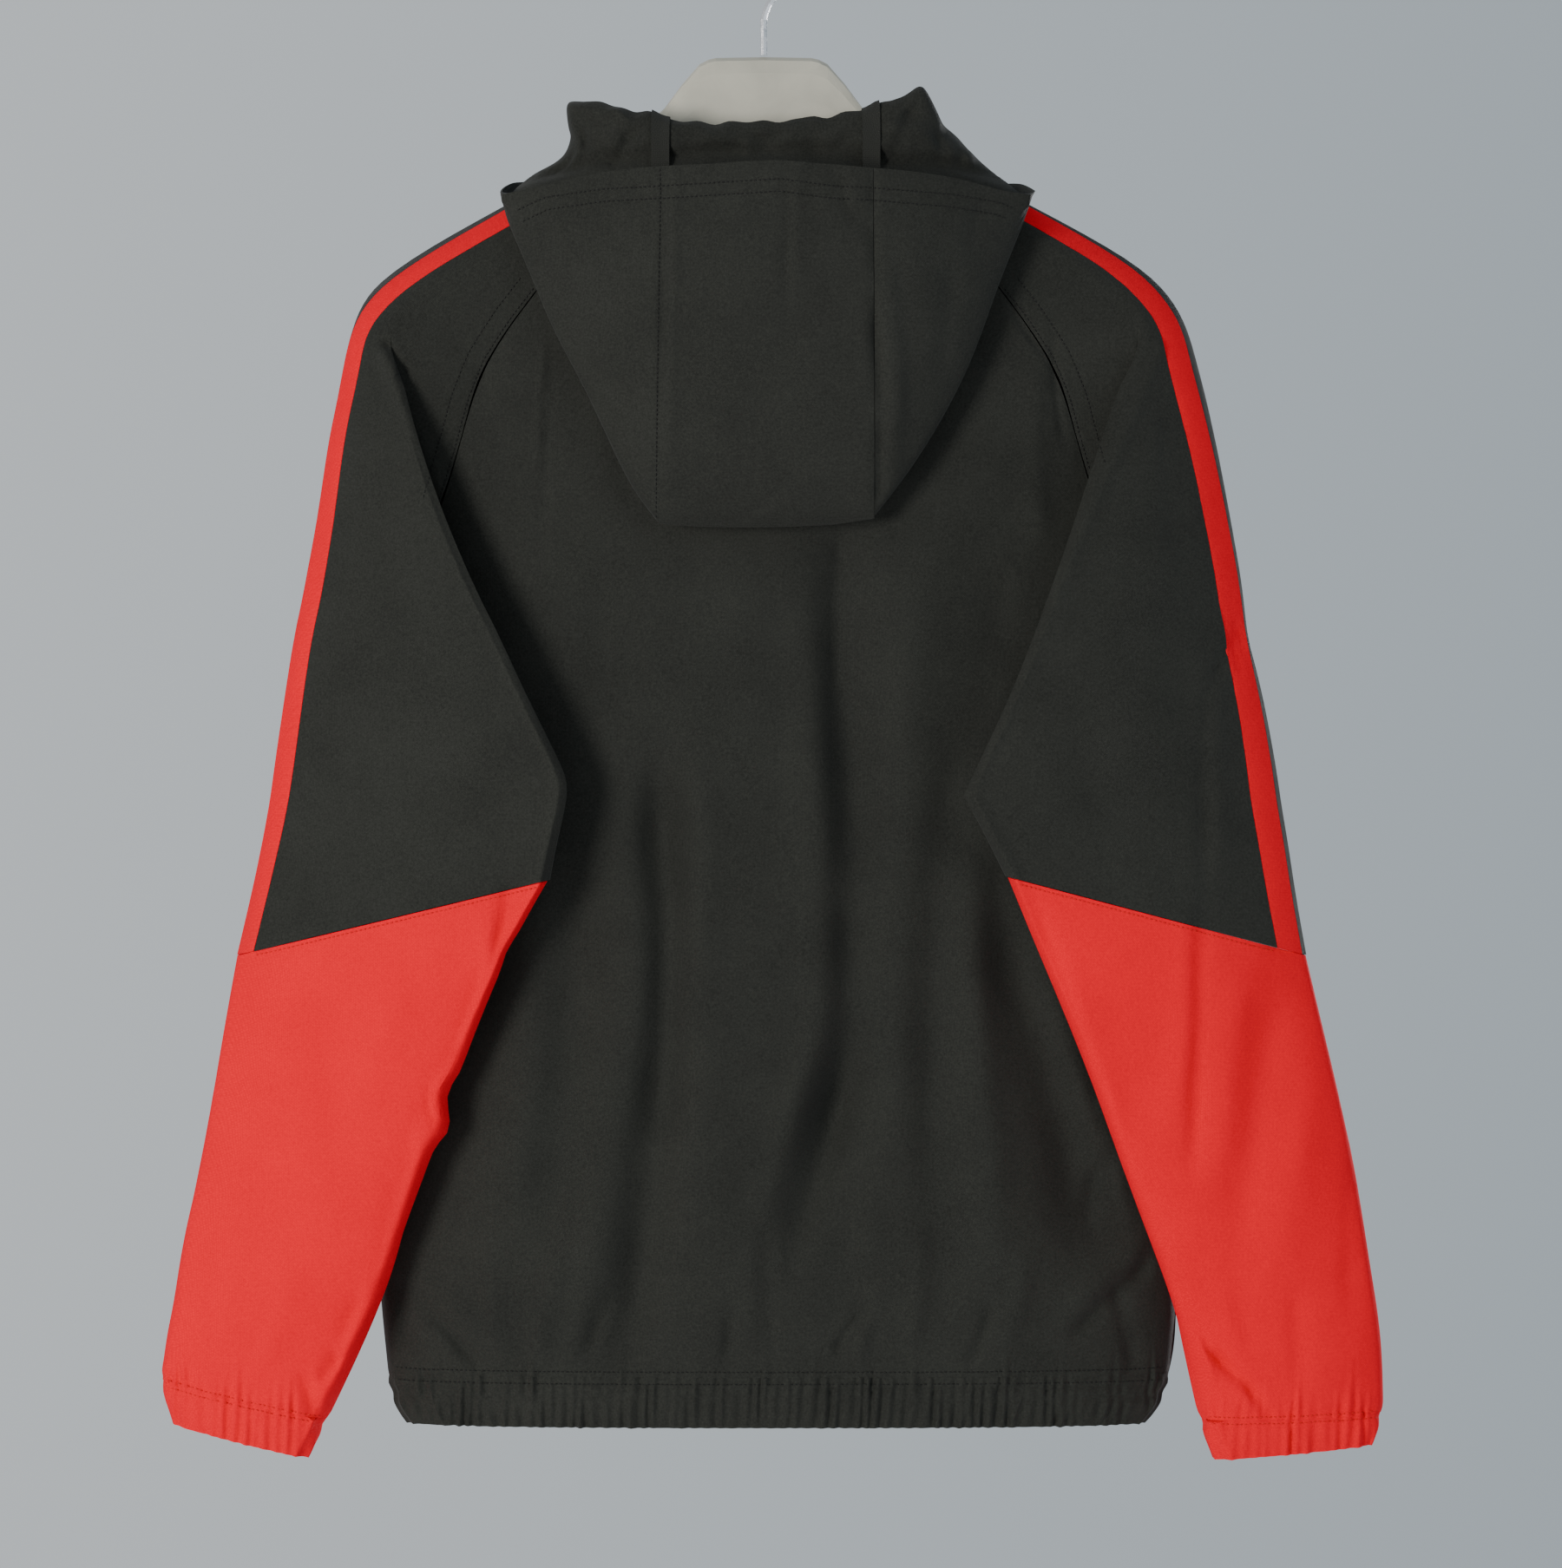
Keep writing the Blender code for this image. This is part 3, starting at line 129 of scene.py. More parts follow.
# How many times the cells of each piece are subdivided.
STEPS_OF = {
    "back": 3,
    "front_{}": 3,
    "hem_back": 3,
    "hem_front_{}": 2,
    "sleeve_back_{}": 3,
    "sleeve_front_{}": 2,
    "stripe_{}": 2,
    "overarm_{}": 2,
    "forearm_{}": 3,
    "cuff_{}": 2,
    "hood_centre": 3,
    "hood_side_{}": 3,
    "binding_{}": 2,
    "zip_tape_{}": 2,
}
STEPS = {name.format(side): steps for name, steps in STEPS_OF.items() for side in SIDES}
MATERIAL_OF = {
    "stripe": "red_shell",
    "forearm": "red_shell",
    "cuff": "red_shell",
    "overarm": "knit",
    "binding": "binding",
    "zip": "zip_tape",
}

# ---- creases
# Places are where the eye sees them on the hanger's plane, in millimetres: x to the right as the
# back is seen, and down from the top of the hook's inside.
# By shares, a crease wavers to both sides, leans to one, and is higher and lower along its length. The
# rates say how fast. It fades in from its start and out to its end, over shares of its length.
CREASE_WAVER, WAVER_RATE = 0.35, 4.1
CREASE_LEAN, LEAN_RATE = 0.3, 2.7
CREASE_UNEVEN, UNEVEN_RATE, UNEVEN_STEP = 0.25, 9.0, 2.3
FADE_START, FADE_IN = -0.08, 0.3
FADE_END, FADE_OUT = 1.08, 0.35
# It is felt within this many widths, and this share of its length past its ends.
CREASE_WIDTHS = 4
CREASE_PAST = 0.1
# Columns of both tables: x and down at the start, x and down at the end, half the crease's width, and
# its rise, which is + for a ridge and - for a trough.
CREASES_BEHIND = [
    # body
    (44, 338, 41, 440, 3.0, -2.6),
    (50, 323, 47, 581, 17.9, -9.4),
    (29, 354, 31, 666, 12.4, 6.0),
    (49, 547, 34, 703, 17.9, -10.3),
    (44, 626, 11, 791, 15.1, -11.3),
    (31, 604, -2, 793, 12.4, 6.0),
    (74, 376, 65, 664, 27.5, 4.4),
    (53, 646, 38, 814, 22.0, -5.2),
    (-55, 466, -59, 689, 12.5, -10.7),
    (-56, 639, -82, 826, 14.5, -9.1),
    (-42, 452, -46, 728, 12.1, 5.9),
    (-68, 536, -87, 800, 16.1, 4.9),
    (107, 457, 101, 791, 20.9, -8.3),
    (121, 502, 127, 760, 13.5, 5.9),
    (142, 555, 180, 761, 18.8, -10.0),
    (161, 579, 193, 732, 14.5, 6.6),
    (226, 745, 174, 800, 4.5, -5.2),
    (220, 739, 169, 788, 5.9, 4.1),
    (189, 700, 185, 742, 4.1, -2.6),
    (203, 695, 181, 716, 4.7, -2.9),
    (-197, 769, -156, 823, 3.5, -3.1),
    (-183, 773, -142, 813, 6.8, 2.6),
    (-209, 764, -200, 808, 5.3, -2.9),
    (-88, 769, -99, 813, 4.7, -3.5),
    (60, 776, 40, 809, 3.5, -3.5),
    (69, 764, 51, 815, 6.8, 2.9),
    (-15, 778, -25, 817, 4.1, -2.6),
    (131, 778, 116, 813, 3.5, -2.9),
    (88, 739, 83, 808, 5.9, 2.3),
    (147, 749, 139, 808, 5.9, 2.6),
    (-117, 749, -126, 817, 6.8, 2.3),
    (-156, 739, -149, 808, 6.8, 2.0),
    (5, 729, 1, 808, 5.9, -3.5),
    (200, 769, 206, 822, 5.3, -2.3),
    (-136, 567, -144, 754, 20.2, 4.9),
    (-109, 514, -117, 748, 14.9, -4.9),
    (64, 690, 59, 764, 6.8, 2.3),
    (-28, 563, -33, 797, 27.0, 4.1),
    # upper back
    (-123, 236, -129, 309, 2.8, 1.4),
    (-120, 275, -126, 358, 2.9, -1.0),
    (-93, 358, -98, 465, 12.7, -1.6),
    (132, 358, 122, 465, 11.7, -1.6),
    (90, 348, 83, 485, 14.7, 1.6),
    (161, 226, 170, 299, 2.8, -1.6),
    (156, 240, 155, 358, 6.8, 1.6),
    (137, 213, 159, 250, 2.8, -1.4),
    (-156, 250, -163, 299, 5.9, -1.2),
    (-20, 358, -15, 485, 19.6, 1.2),
    # hood
    (13, 137, 14, 238, 2.8, -1.2),
    (18, 138, 20, 206, 4.4, 1.0),
    (61, 139, 63, 206, 2.8, -2.0),
    (63, 206, 66, 280, 2.8, -3.7),
    (66, 280, 63, 332, 2.8, -3.7),
    (71, 191, 75, 319, 6.8, 3.1),
    (-57, 139, -58, 338, 2.8, -1.7),
    (-51, 139, -52, 338, 3.9, 1.5),
    (-110, 235, -67, 280, 2.8, -1.9),
    (-104, 230, -63, 271, 5.4, 1.5),
    (39, 138, 47, 150, 2.8, -1.9),
    (41, 149, 52, 173, 2.8, -2.0),
    (51, 158, 60, 178, 2.8, -1.9),
    (45, 145, 55, 167, 2.8, 1.4),
    (31, 141, 38, 167, 3.9, 1.0),
    (-46, 319, -27, 304, 3.4, -1.2),
    (-19, 340, 26, 313, 2.9, -1.4),
    (-5, 331, 39, 311, 4.4, 1.0),
    (-71, 143, -77, 191, 5.9, -1.0),
    (-65, 157, -61, 187, 2.8, -1.2),
    (-93, 270, -69, 333, 5.9, -1.4),
    (-15, 250, 24, 240, 9.8, -0.8),
    (88, 162, 83, 250, 10.8, 1.4),
    (108, 191, 98, 260, 5.9, -1.5),
    (-20, 167, -22, 289, 16.6, 1.4),
    (122, 152, 117, 191, 4.9, -1.0),
    (-117, 162, -111, 206, 5.9, 1.2),
    (-127, 160, -123, 191, 2.9, -1.2),
    # collar roll above the rim
    (-104, 118, -87, 136, 4.5, -3.4),
    (-88, 138, -71, 119, 3.4, -3.8),
    (-102, 107, -71, 113, 4.4, 2.7),
    (-106, 116, -102, 137, 3.6, -2.0),
    (-29, 137, -9, 123, 2.8, -2.4),
    (-9, 123, 13, 120, 2.8, -2.1),
    (24, 136, 51, 123, 3.9, -2.0),
    (68, 133, 89, 103, 3.9, -3.3),
    (101, 118, 97, 138, 4.2, -3.0),
    (106, 116, 113, 139, 3.6, -2.2),
    (112, 126, 120, 138, 2.8, 2.7),
    (66, 118, 95, 118, 4.4, 2.4),
    (-39, 118, 0, 129, 4.9, 1.7),
    (-125, 141, -110, 131, 2.8, -2.4),
    # left sleeve
    (-215, 233, -200, 260, 2.9, -3.2),
    (-212, 240, -204, 255, 4.9, 2.0),
    (-223, 240, -209, 275, 7.8, -1.6),
    (-259, 348, -225, 446, 29.3, 1.6),
    (-176, 416, -137, 485, 19.6, 1.6),
    (-269, 485, -259, 563, 9.8, -1.2),
    (-143, 540, -153, 583, 3.9, -2.4),
    (-151, 548, -166, 627, 6.8, 2.4),
    (-159, 578, -176, 656, 5.9, -2.0),
    (-190, 665, -180, 662, 2.8, -3.2),
    (-192, 667, -181, 681, 2.9, -3.2),
    (-196, 680, -186, 700, 4.9, 2.0),
    (-221, 779, -242, 793, 3.4, -2.0),
    (-219, 764, -237, 808, 5.9, 2.4),
    (-239, 808, -257, 830, 4.4, -2.4),
    (-264, 819, -249, 846, 3.4, -2.4),
    (-254, 815, -245, 840, 4.2, 1.6),
    (-284, 656, -302, 739, 12.7, 1.8),
    (-235, 592, -248, 729, 16.6, -1.6),
    (-308, 754, -314, 817, 5.9, -1.4),
    (-269, 759, -284, 822, 8.8, 1.6),
    (-208, 583, -220, 680, 12.7, 1.4),
    # right sleeve
    (269, 395, 252, 431, 2.9, -3.2),
    (252, 426, 248, 558, 3.4, -3.0),
    (256, 416, 254, 534, 6.8, 2.4),
    (247, 558, 240, 710, 3.9, -2.8),
    (241, 548, 231, 695, 7.8, 2.4),
    (220, 265, 237, 358, 9.8, -1.8),
    (210, 338, 225, 485, 19.6, 1.8),
    (181, 436, 196, 534, 14.7, -1.4),
    (296, 597, 260, 754, 12.7, -4.0),
    (274, 592, 250, 720, 10.8, 2.8),
    (313, 622, 285, 778, 11.7, 2.6),
    (152, 553, 187, 651, 4.9, -1.6),
    (191, 656, 210, 739, 5.9, 1.8),
    (227, 755, 255, 808, 3.9, -2.4),
    (254, 806, 280, 836, 2.9, -2.6),
    (246, 798, 254, 827, 2.9, 1.8),
    (247, 800, 289, 847, 2.8, -2.4),
    (220, 749, 239, 798, 6.8, 2.0),
    (265, 822, 277, 836, 2.8, 1.6),
    (333, 680, 331, 788, 6.8, -1.6),
    (259, 769, 269, 808, 5.9, 1.6),
    (303, 769, 298, 827, 6.8, -1.6),
    (272, 408, 264, 416, 2.9, -2.8),
    (176, 358, 156, 416, 7.8, 1.4),
]
CREASES_IN_FRONT = [
    # fronts
    (-60, 240, -66, 420, 9, -3.0),
    (-96, 250, -88, 520, 14, 2.8),
    (-128, 300, -104, 470, 8, -2.5),
    (-40, 400, -52, 700, 16, -3.8),
    (-74, 460, -92, 790, 20, 3.4),
    (-120, 480, -128, 780, 13, -3.4),
    (-150, 420, -140, 560, 9, -2.7),
    (-160, 560, -172, 800, 15, 3.0),
    (-22, 620, -34, 815, 9, -2.5),
    (-104, 700, -86, 820, 7, -2.1),
    (-184, 700, -196, 815, 8, -2.3),
    (62, 250, 54, 440, 10, -2.8),
    (104, 260, 96, 500, 15, 2.7),
    (140, 290, 118, 430, 7, -2.3),
    (48, 430, 62, 690, 14, -3.6),
    (88, 480, 98, 780, 22, 3.2),
    (132, 470, 126, 800, 12, -3.6),
    (168, 440, 158, 600, 9, -2.5),
    (176, 580, 186, 800, 14, 2.8),
    (32, 640, 44, 820, 10, -2.3),
    (112, 720, 100, 818, 6, -2.1),
    (202, 690, 210, 812, 8, -1.9),
    (-20, 240, -30, 330, 6, -1.7),
    (34, 238, 44, 320, 6, -1.7),
    (-140, 640, -80, 720, 8, -1.9),
    (150, 660, 96, 742, 8, -1.9),
    # sleeves
    (-240, 330, -262, 470, 8, -2.7),
    (-222, 300, -238, 400, 9, 1.9),
    (-252, 450, -272, 560, 10, 2.1),
    (-210, 420, -226, 540, 12, -2.8),
    (-246, 600, -274, 760, 14, -3.4),
    (-222, 590, -250, 740, 13, 2.8),
    (-290, 620, -308, 790, 11, 2.3),
    (-200, 610, -222, 700, 8, -2.3),
    (-264, 760, -292, 822, 6, -2.5),
    (-300, 780, -316, 824, 5, -1.7),
    (246, 320, 266, 460, 9, -2.5),
    (226, 300, 244, 410, 8, 1.9),
    (256, 470, 276, 570, 9, 2.1),
    (216, 430, 236, 530, 12, -2.7),
    (240, 590, 268, 740, 13, -3.6),
    (264, 600, 292, 770, 15, 3.0),
    (300, 640, 314, 800, 10, -2.3),
    (206, 600, 232, 700, 9, 2.1),
    (262, 770, 290, 826, 6, -2.3),
    (310, 770, 322, 828, 5, -1.7),
    # hood beside the zip
    (-88, 152, -64, 178, 5, -2.3),
    (-60, 170, -34, 192, 4, -1.7),
    (92, 154, 70, 180, 5, -2.1),
    (62, 172, 42, 192, 4, -1.7),
]
# Pressed edges of the sleeves, along which the cloth stays flat: points, width and rise.
PRESSED_EDGES = (
    (((-214, 245), (-113, 487), (-125, 540)), 4.5, 2.6),
    (((-125, 543), (-140, 573), (-184, 666), (-218, 778), (-247, 834)), 4.5, 3.8),
    (((225, 240), (116, 492), (142, 539)), 4.5, 1.8),
    (((142, 542), (252, 850)), 4.5, 1.8),
)
# The roll falls away behind the hood's rim, just above it.
ROLL_GAP = (((-136, 145), (-93, 135), (-24, 131), (10, 129), (60, 134), (108, 138), (140, 145)), 4.0, -6.0)
# Places where an outline is tugged: pieces, x and down, reach, and how far to the right and down.
TUGS = (
    ("hood", -116, 126, 12.0, 7.0, 0.0),
    ("hood", -121, 136, 8.0, 5.0, 0.0),
    ("hood", -104, 104, 8.0, -5.0, -2.0),
    ("hood", 89, 98, 7.0, 0.0, -3.5),
    ("hood", 103, 119, 6.0, -3.0, 1.0),
    ("forearm_left", -177, 659, 8.0, -3.0, 0.0),
    ("forearm_left", -184, 679, 9.0, 4.5, 1.5),
    ("forearm_left", -140, 582, 9.0, -1.8, 0.0),
    ("forearm_left", -320, 800, 16.0, -2.5, 0.0),
    ("sleeve_back_right", 266, 400, 12.0, 1.8, 0.0),
)
# Elastic edges, the hem and then the cuffs: points on the stitching, how far the gathers reach above
# it, and their height.
ELASTICS = (
    (((-212, 829), (-59, 829), (78, 831), (225, 829)), 18.0, 1.5),
    (((-340, 822), (-308, 833), (-284, 842), (-259, 848), (-246, 847)), 18.0, 1.3),
    (((246, 845), (279, 845), (313, 844), (346, 842)), 18.0, 1.3),
)
GATHER_PITCH = 6.4
CASING_DEPTH = 24.0
# Two rows of stitching hold it: how far apart they are, the dent that each makes, and the share by
# which it flattens the gathers.
STITCH_APART = 6.8
DENT_WIDTH, DENT_DEPTH, DENT_FLATTENS = 1.2, 1.0, 0.72
# Waves along x, by height, rate and start: the drift of the gathers' pitch, their size, and how far up
# they fan out.
PITCH_WAVES = ((1.5, 0.11, 0.0), (0.7, 0.31, 1.0))
SIZE_MIDDLE, SIZE_WAVES = 0.6, ((0.25, 0.19, 2.0), (0.15, 0.47, 0.4))
FAN_MIDDLE, FAN_WAVES = 0.5, ((0.3, 0.23, 0.7), (0.2, 0.61, 0.0))
FAN_LEAST = 2.0
# Gathers lean as they go up. Slower ones, of this height and rate, lean the other way.
GATHER_LEAN = 0.05
SLOW_HEIGHT, SLOW_RATE, SLOW_LEAN = 0.35, 0.47, 0.06
# A gather's height varies round a middle, in blotches that are long along it.
VARY_MIDDLE, VARY_BY, VARY_SIZE, VARY_SEED, VARY_LONG = 0.75, 0.6, 13.0, 11, 0.35
# Gathers just above the stitching are this much higher than those in the casing.
FAN_GAIN = 1.4
# How far from its ends an elastic edge is without gathers.
GATHER_ENDS = 4
# How far the ends are drawn in at the stitching, and at the casing's foot. They begin at this share of
# the way from the middle, and reach a margin past the edge.
END_NOTCH = 1.6
END_ROUND = 4.0
END_FROM = 0.8
END_MARGIN = 12
NOTCH_HEIGHT = 4.0

# ---- sewing
STITCH_PITCH, STITCH_WIDTH, STITCH_LIFT = 2.6, 0.7, 0.2
# A stitch fills the pitch between these shares, and none spans more than this many pitches.
STITCH_FROM, STITCH_TO = 0.12, 0.88
STITCH_JUMP = 1.8
# Bars of thread are at their full width between these shares of their length.
BAR_FULL = (0.22, 0.78)
# A seam is read where more than this share of it is outermost, as the mean of each stretch.
SEEN_SHARE = 0.5
SEAM_STRETCH = 7.0
# The hood's rim, from the left to the right, as the eye sees it.
HOOD_RIM = (
    (-144, 153), (-127, 145), (-93, 140), (-56, 138), (-24, 136), (10, 134),
    (39, 138), (60, 139), (108, 143), (137, 148), (148, 153),
)
RIM_STEP = 6.0
# How far below the rim its turned edge is sewn down.
EDGE_ROWS = (11.5, 18.5)
# Rows beside seams: the two pieces, the side from which the seam shows, the way it runs, and how far
# off it each row is sewn, + down or to the left, or to the right on the right side.
DOWN, ACROSS = "down", "across"
# A row's last item is its thread; the dark thread's colour holds painted shade of its stitch holes.
ROWS = (
    ("back", "sleeve_back_{}", BEHIND, DOWN, (2.6, 12.0), "thread_dark"),
    ("front_{}", "sleeve_front_{}", IN_FRONT, DOWN, (2.6,), "thread_dark"),
    ("hood_centre", "hood_side_left", BEHIND, DOWN, (0.9,), "thread_dark"),
    ("sleeve_back_{}", "forearm_{}", BEHIND, ACROSS, (2.6,), "thread_red"),
    ("sleeve_front_{}", "forearm_{}", IN_FRONT, ACROSS, (2.6,), "thread_red"),
    ("hem_back", "back", BEHIND, ACROSS, (-3.4, 3.4), "thread_dark"),
    ("hem_front_{}", "front_{}", IN_FRONT, ACROSS, (-3.4, 3.4), "thread_dark"),
    ("cuff_{}", "forearm_{}", BEHIND, ACROSS, (-2.2, 1.4), "thread_red"),
    ("cuff_{}", "forearm_{}", IN_FRONT, ACROSS, (-2.2, 1.4), "thread_red"),
    ("front_{}", "zip_tape_{}", IN_FRONT, DOWN, (2.0, 7.5), "thread_dark"),
)
TOOTH_PITCH, TOOTH_WIDTH, TOOTH_THICK, TOOTH_SWAY = 1.4, 3.3, 1.0, 0.8
# The teeth end this far from the chain's ends, whose middles are read over this length.
TEETH_END = 1.0
CHAIN_END = 6


# ---- materials
class Nodes:
    """A material's node tree, with short calls to add nodes and to join them."""

    def __init__(self, name, roughness, colour):
        self.material = bpy.data.materials.new(name)
        self.material.use_nodes = True
        self.tree = self.material.node_tree
        self.shader = self.tree.nodes["Principled BSDF"]
        self.shader.inputs["Roughness"].default_value = roughness
        self.shader.inputs["Base Color"].default_value = (*colour, 1.0)
        coordinates = self.tree.nodes.new("ShaderNodeTexCoord")
        self.place = coordinates.outputs["Object"]

    def add(self, kind, **inputs):
        node = self.tree.nodes.new(kind)
        for name, value in inputs.items():
            self.feed(node, name.replace("_", " "), value)
        return node

    def feed(self, node, name, value):
        socket = node.inputs[name] if name in node.inputs else node.inputs[int(name)]
        if isinstance(value, bpy.types.NodeSocket):
            self.tree.links.new(value, socket)
        else:
            socket.default_value = value

    def math(self, operation, a, b=0.0):
        node = self.tree.nodes.new("ShaderNodeMath")
        node.operation = operation
        self.feed(node, "0", a)
        self.feed(node, "1", b)
        return node.outputs[0]

    def noise(self, size, detail=2.0, distortion=0.0):
        """Noise whose blotches are about size metres across."""
        node = self.add("ShaderNodeTexNoise", Vector=self.place, Scale=1.0 / size)
        node.inputs["Detail"].default_value = detail
        node.inputs["Distortion"].default_value = distortion
        return node.outputs["Fac"]

    def ramp(self, value, low, high, dark, light):
        node = self.tree.nodes.new("ShaderNodeMapRange")
        self.feed(node, "Value", value)
        for name, number in (("From Min", low), ("From Max", high), ("To Min", dark), ("To Max", light)):
            node.inputs[name].default_value = number
        return node.outputs["Result"]

    def threads(self, pitch):
        """A plain weave: threads along and across, each over and under in turn."""
        split = self.add("ShaderNodeSeparateXYZ", Vector=self.place)
        across = self.math("ADD", split.outputs["X"], split.outputs["Y"])
        turns = math.pi / pitch
        warp = self.math("SINE", self.math("MULTIPLY", across, turns))
        weft = self.math("SINE", self.math("MULTIPLY", split.outputs["Z"], turns))
        over = self.math("MULTIPLY", warp, weft)
        crown = self.math("MULTIPLY", self.math("ABSOLUTE", warp), self.math("ABSOLUTE", weft))
        return self.math("ADD", self.math("MULTIPLY", over, 0.35), crown)

    def ribs(self, pitch):
        """Fine ribs that run down the cloth."""
        split = self.add("ShaderNodeSeparateXYZ", Vector=self.place)
        across = self.math("ADD", split.outputs["X"], split.outputs["Y"])
        return self.math("ABSOLUTE", self.math("SINE", self.math("MULTIPLY", across, math.pi / pitch)))

    def bump(self, height, distance, strength=1.0, under=None):
        node = self.add("ShaderNodeBump", Height=height, Strength=strength, Distance=distance)
        if under is not None:
            self.tree.links.new(under, node.inputs["Normal"])
        return node.outputs["Normal"]

    def shade(self, colour, amount):
        """The colour, made lighter and darker by amount, which is about 1."""
        mix = self.tree.nodes.new("ShaderNodeVectorMath")
        mix.operation = "SCALE"
        mix.inputs[0].default_value = colour
        self.tree.links.new(amount, mix.inputs["Scale"])
        self.tree.links.new(mix.outputs[0], self.shader.inputs["Base Color"])

    def finish(self, normal):
        self.tree.links.new(normal, self.shader.inputs["Normal"])
        return self.material


def shell_cloth(name, colour, sheen, roughness, contrast):
    """A thin woven shell: fine threads, a slight unevenness and soft crumples."""
    nodes = Nodes(name, roughness, colour)
    nodes.shader.inputs["Sheen Weight"].default_value = sheen
    nodes.shader.inputs["Sheen Roughness"].default_value = 0.45
    nodes.shader.inputs["Specular IOR Level"].default_value = 0.12
    weave = nodes.threads(pitch=0.0007)
    patches = nodes.noise(0.045, detail=3.0)
    crumples = nodes.noise(0.028, detail=3.0, distortion=0.6)
    grain = nodes.noise(0.0012)
    mixed = nodes.math("ADD", nodes.math("MULTIPLY", patches, 0.3), nodes.math("MULTIPLY", grain, 0.7))
    shade = nodes.ramp(mixed, low=0.3, high=0.7, dark=1 - contrast, light=1 + contrast)
    thread_shade = nodes.ramp(weave, low=0.0, high=1.2, dark=0.9, light=1.08)
    nodes.shade(colour, nodes.math("MULTIPLY", shade, thread_shade))
    soft = nodes.bump(crumples, distance=0.0022, strength=0.55)
    return nodes.finish(nodes.bump(weave, distance=0.00012, strength=0.6, under=soft))


def knit_cloth(name, colour):
    """A matt knit with fine ribs."""
    nodes = Nodes(name, 0.95, colour)
    nodes.shader.inputs["Sheen Weight"].default_value = 0.08
    nodes.shader.inputs["Specular IOR Level"].default_value = 0.12
    nodes.shader.inputs["Sheen Roughness"].default_value = 0.6
    ribs = nodes.ribs(pitch=0.0011)
    fuzz = nodes.noise(0.002, detail=3.0)
    both = nodes.math("ADD", ribs, fuzz)
    nodes.shade(colour, nodes.ramp(both, low=0.2, high=1.6, dark=0.8, light=1.15))
    soft = nodes.bump(fuzz, distance=0.0006, strength=0.3)
    return nodes.finish(nodes.bump(ribs, distance=0.0003, strength=0.8, under=soft))


def tape_cloth(name, colour, pitch):
    """A narrow woven tape."""
    nodes = Nodes(name, 0.8, colour)
    nodes.shader.inputs["Sheen Weight"].default_value = 0.04
    nodes.shader.inputs["Specular IOR Level"].default_value = 0.15
    nodes.shader.inputs["Sheen Roughness"].default_value = 0.5
    weave = nodes.threads(pitch)
    nodes.shade(colour, nodes.ramp(weave, low=0.0, high=1.3, dark=0.82, light=1.12))
    return nodes.finish(nodes.bump(weave, distance=0.0002, strength=0.8))


def moulded_plastic(name, colour, roughness, mottle):
    """Satin moulded plastic with faint flow marks and fine scuffs."""
    nodes = Nodes(name, roughness, colour)
    marks = nodes.noise(0.03, detail=4.0, distortion=0.8)
    scuffs = nodes.noise(0.0016, detail=3.0)
    nodes.shade(colour, nodes.ramp(marks, low=0.25, high=0.75, dark=1.0 - mottle, light=1.0 + mottle))
    rough = nodes.ramp(scuffs, low=0.3, high=0.7, dark=roughness - 0.06, light=roughness + 0.08)
    nodes.tree.links.new(rough, nodes.shader.inputs["Roughness"])
    soft = nodes.bump(marks, distance=0.0006, strength=0.2)
    return nodes.finish(nodes.bump(scuffs, distance=0.0001, strength=0.35, under=soft))


def plated_wire(name):
    """Bright plated wire with faint draw marks along it."""
    nodes = Nodes(name, roughness=0.18, colour=(0.72, 0.72, 0.74))
    nodes.shader.inputs["Metallic"].default_value = 1.0
    marks = nodes.noise(0.0009, detail=3.0)
    rough = nodes.ramp(marks, low=0.3, high=0.7, dark=0.14, light=0.3)
    nodes.tree.links.new(rough, nodes.shader.inputs["Roughness"])
    return nodes.finish(nodes.bump(marks, distance=0.00004, strength=0.4))


def plain(name, colour, roughness):
    """A plain surface with the faintest unevenness."""
    nodes = Nodes(name, roughness, colour)
    nodes.shade(colour, nodes.ramp(nodes.noise(0.4), low=0.3, high=0.7, dark=0.98, light=1.02))
    return nodes.material


# Linear colours of the two shells.
DARK = (0.0192, 0.0198, 0.0168)
RED = (0.73, 0.0005, 0.012)
MATERIALS = {
    "dark_shell": shell_cloth("dark_shell", DARK, sheen=0.05, roughness=0.85, contrast=0.36),
    "red_shell": shell_cloth("red_shell", RED, sheen=0.0, roughness=0.9, contrast=0.1),
    "knit": knit_cloth("knit", (0.017, 0.017, 0.016)),
    "binding": tape_cloth("binding", (0.0205, 0.021, 0.018), pitch=0.0011),
    "zip_tape": tape_cloth("zip_tape", (0.016, 0.016, 0.017), pitch=0.0009),
    "zip_plastic": moulded_plastic("zip_plastic", (0.014, 0.014, 0.015), roughness=0.38, mottle=0.06),
    "hanger": moulded_plastic("hanger", (0.43, 0.41, 0.34), roughness=0.5, mottle=0.12),
    "wire": plated_wire("wire"),
    # The dark thread is darker than the dark shell: its own charcoal colour plus painted shade of the
    # holes that its stitches sink into.
    "thread_dark": tape_cloth("thread_dark", (0.011, 0.011, 0.010), pitch=0.0004),
    "thread_red": tape_cloth("thread_red", (0.72, 0.006, 0.008), pitch=0.0004),
    "floor": plain("floor", (0.72, 0.73, 0.74), roughness=0.8),
}


# ---- cloth pieces
def smooth_step(t):
    t = np.clip(t, 0.0, 1.0)
    return t * t * (3 - 2 * t)


def link(name, mesh, material):
    piece = bpy.data.objects.new(name, mesh)
    bpy.context.scene.collection.objects.link(piece)
    mesh.materials.clear()
    mesh.materials.append(MATERIALS[material])
    mesh.polygons.foreach_set("use_smooth", np.ones(len(mesh.polygons), dtype=bool))
    return piece


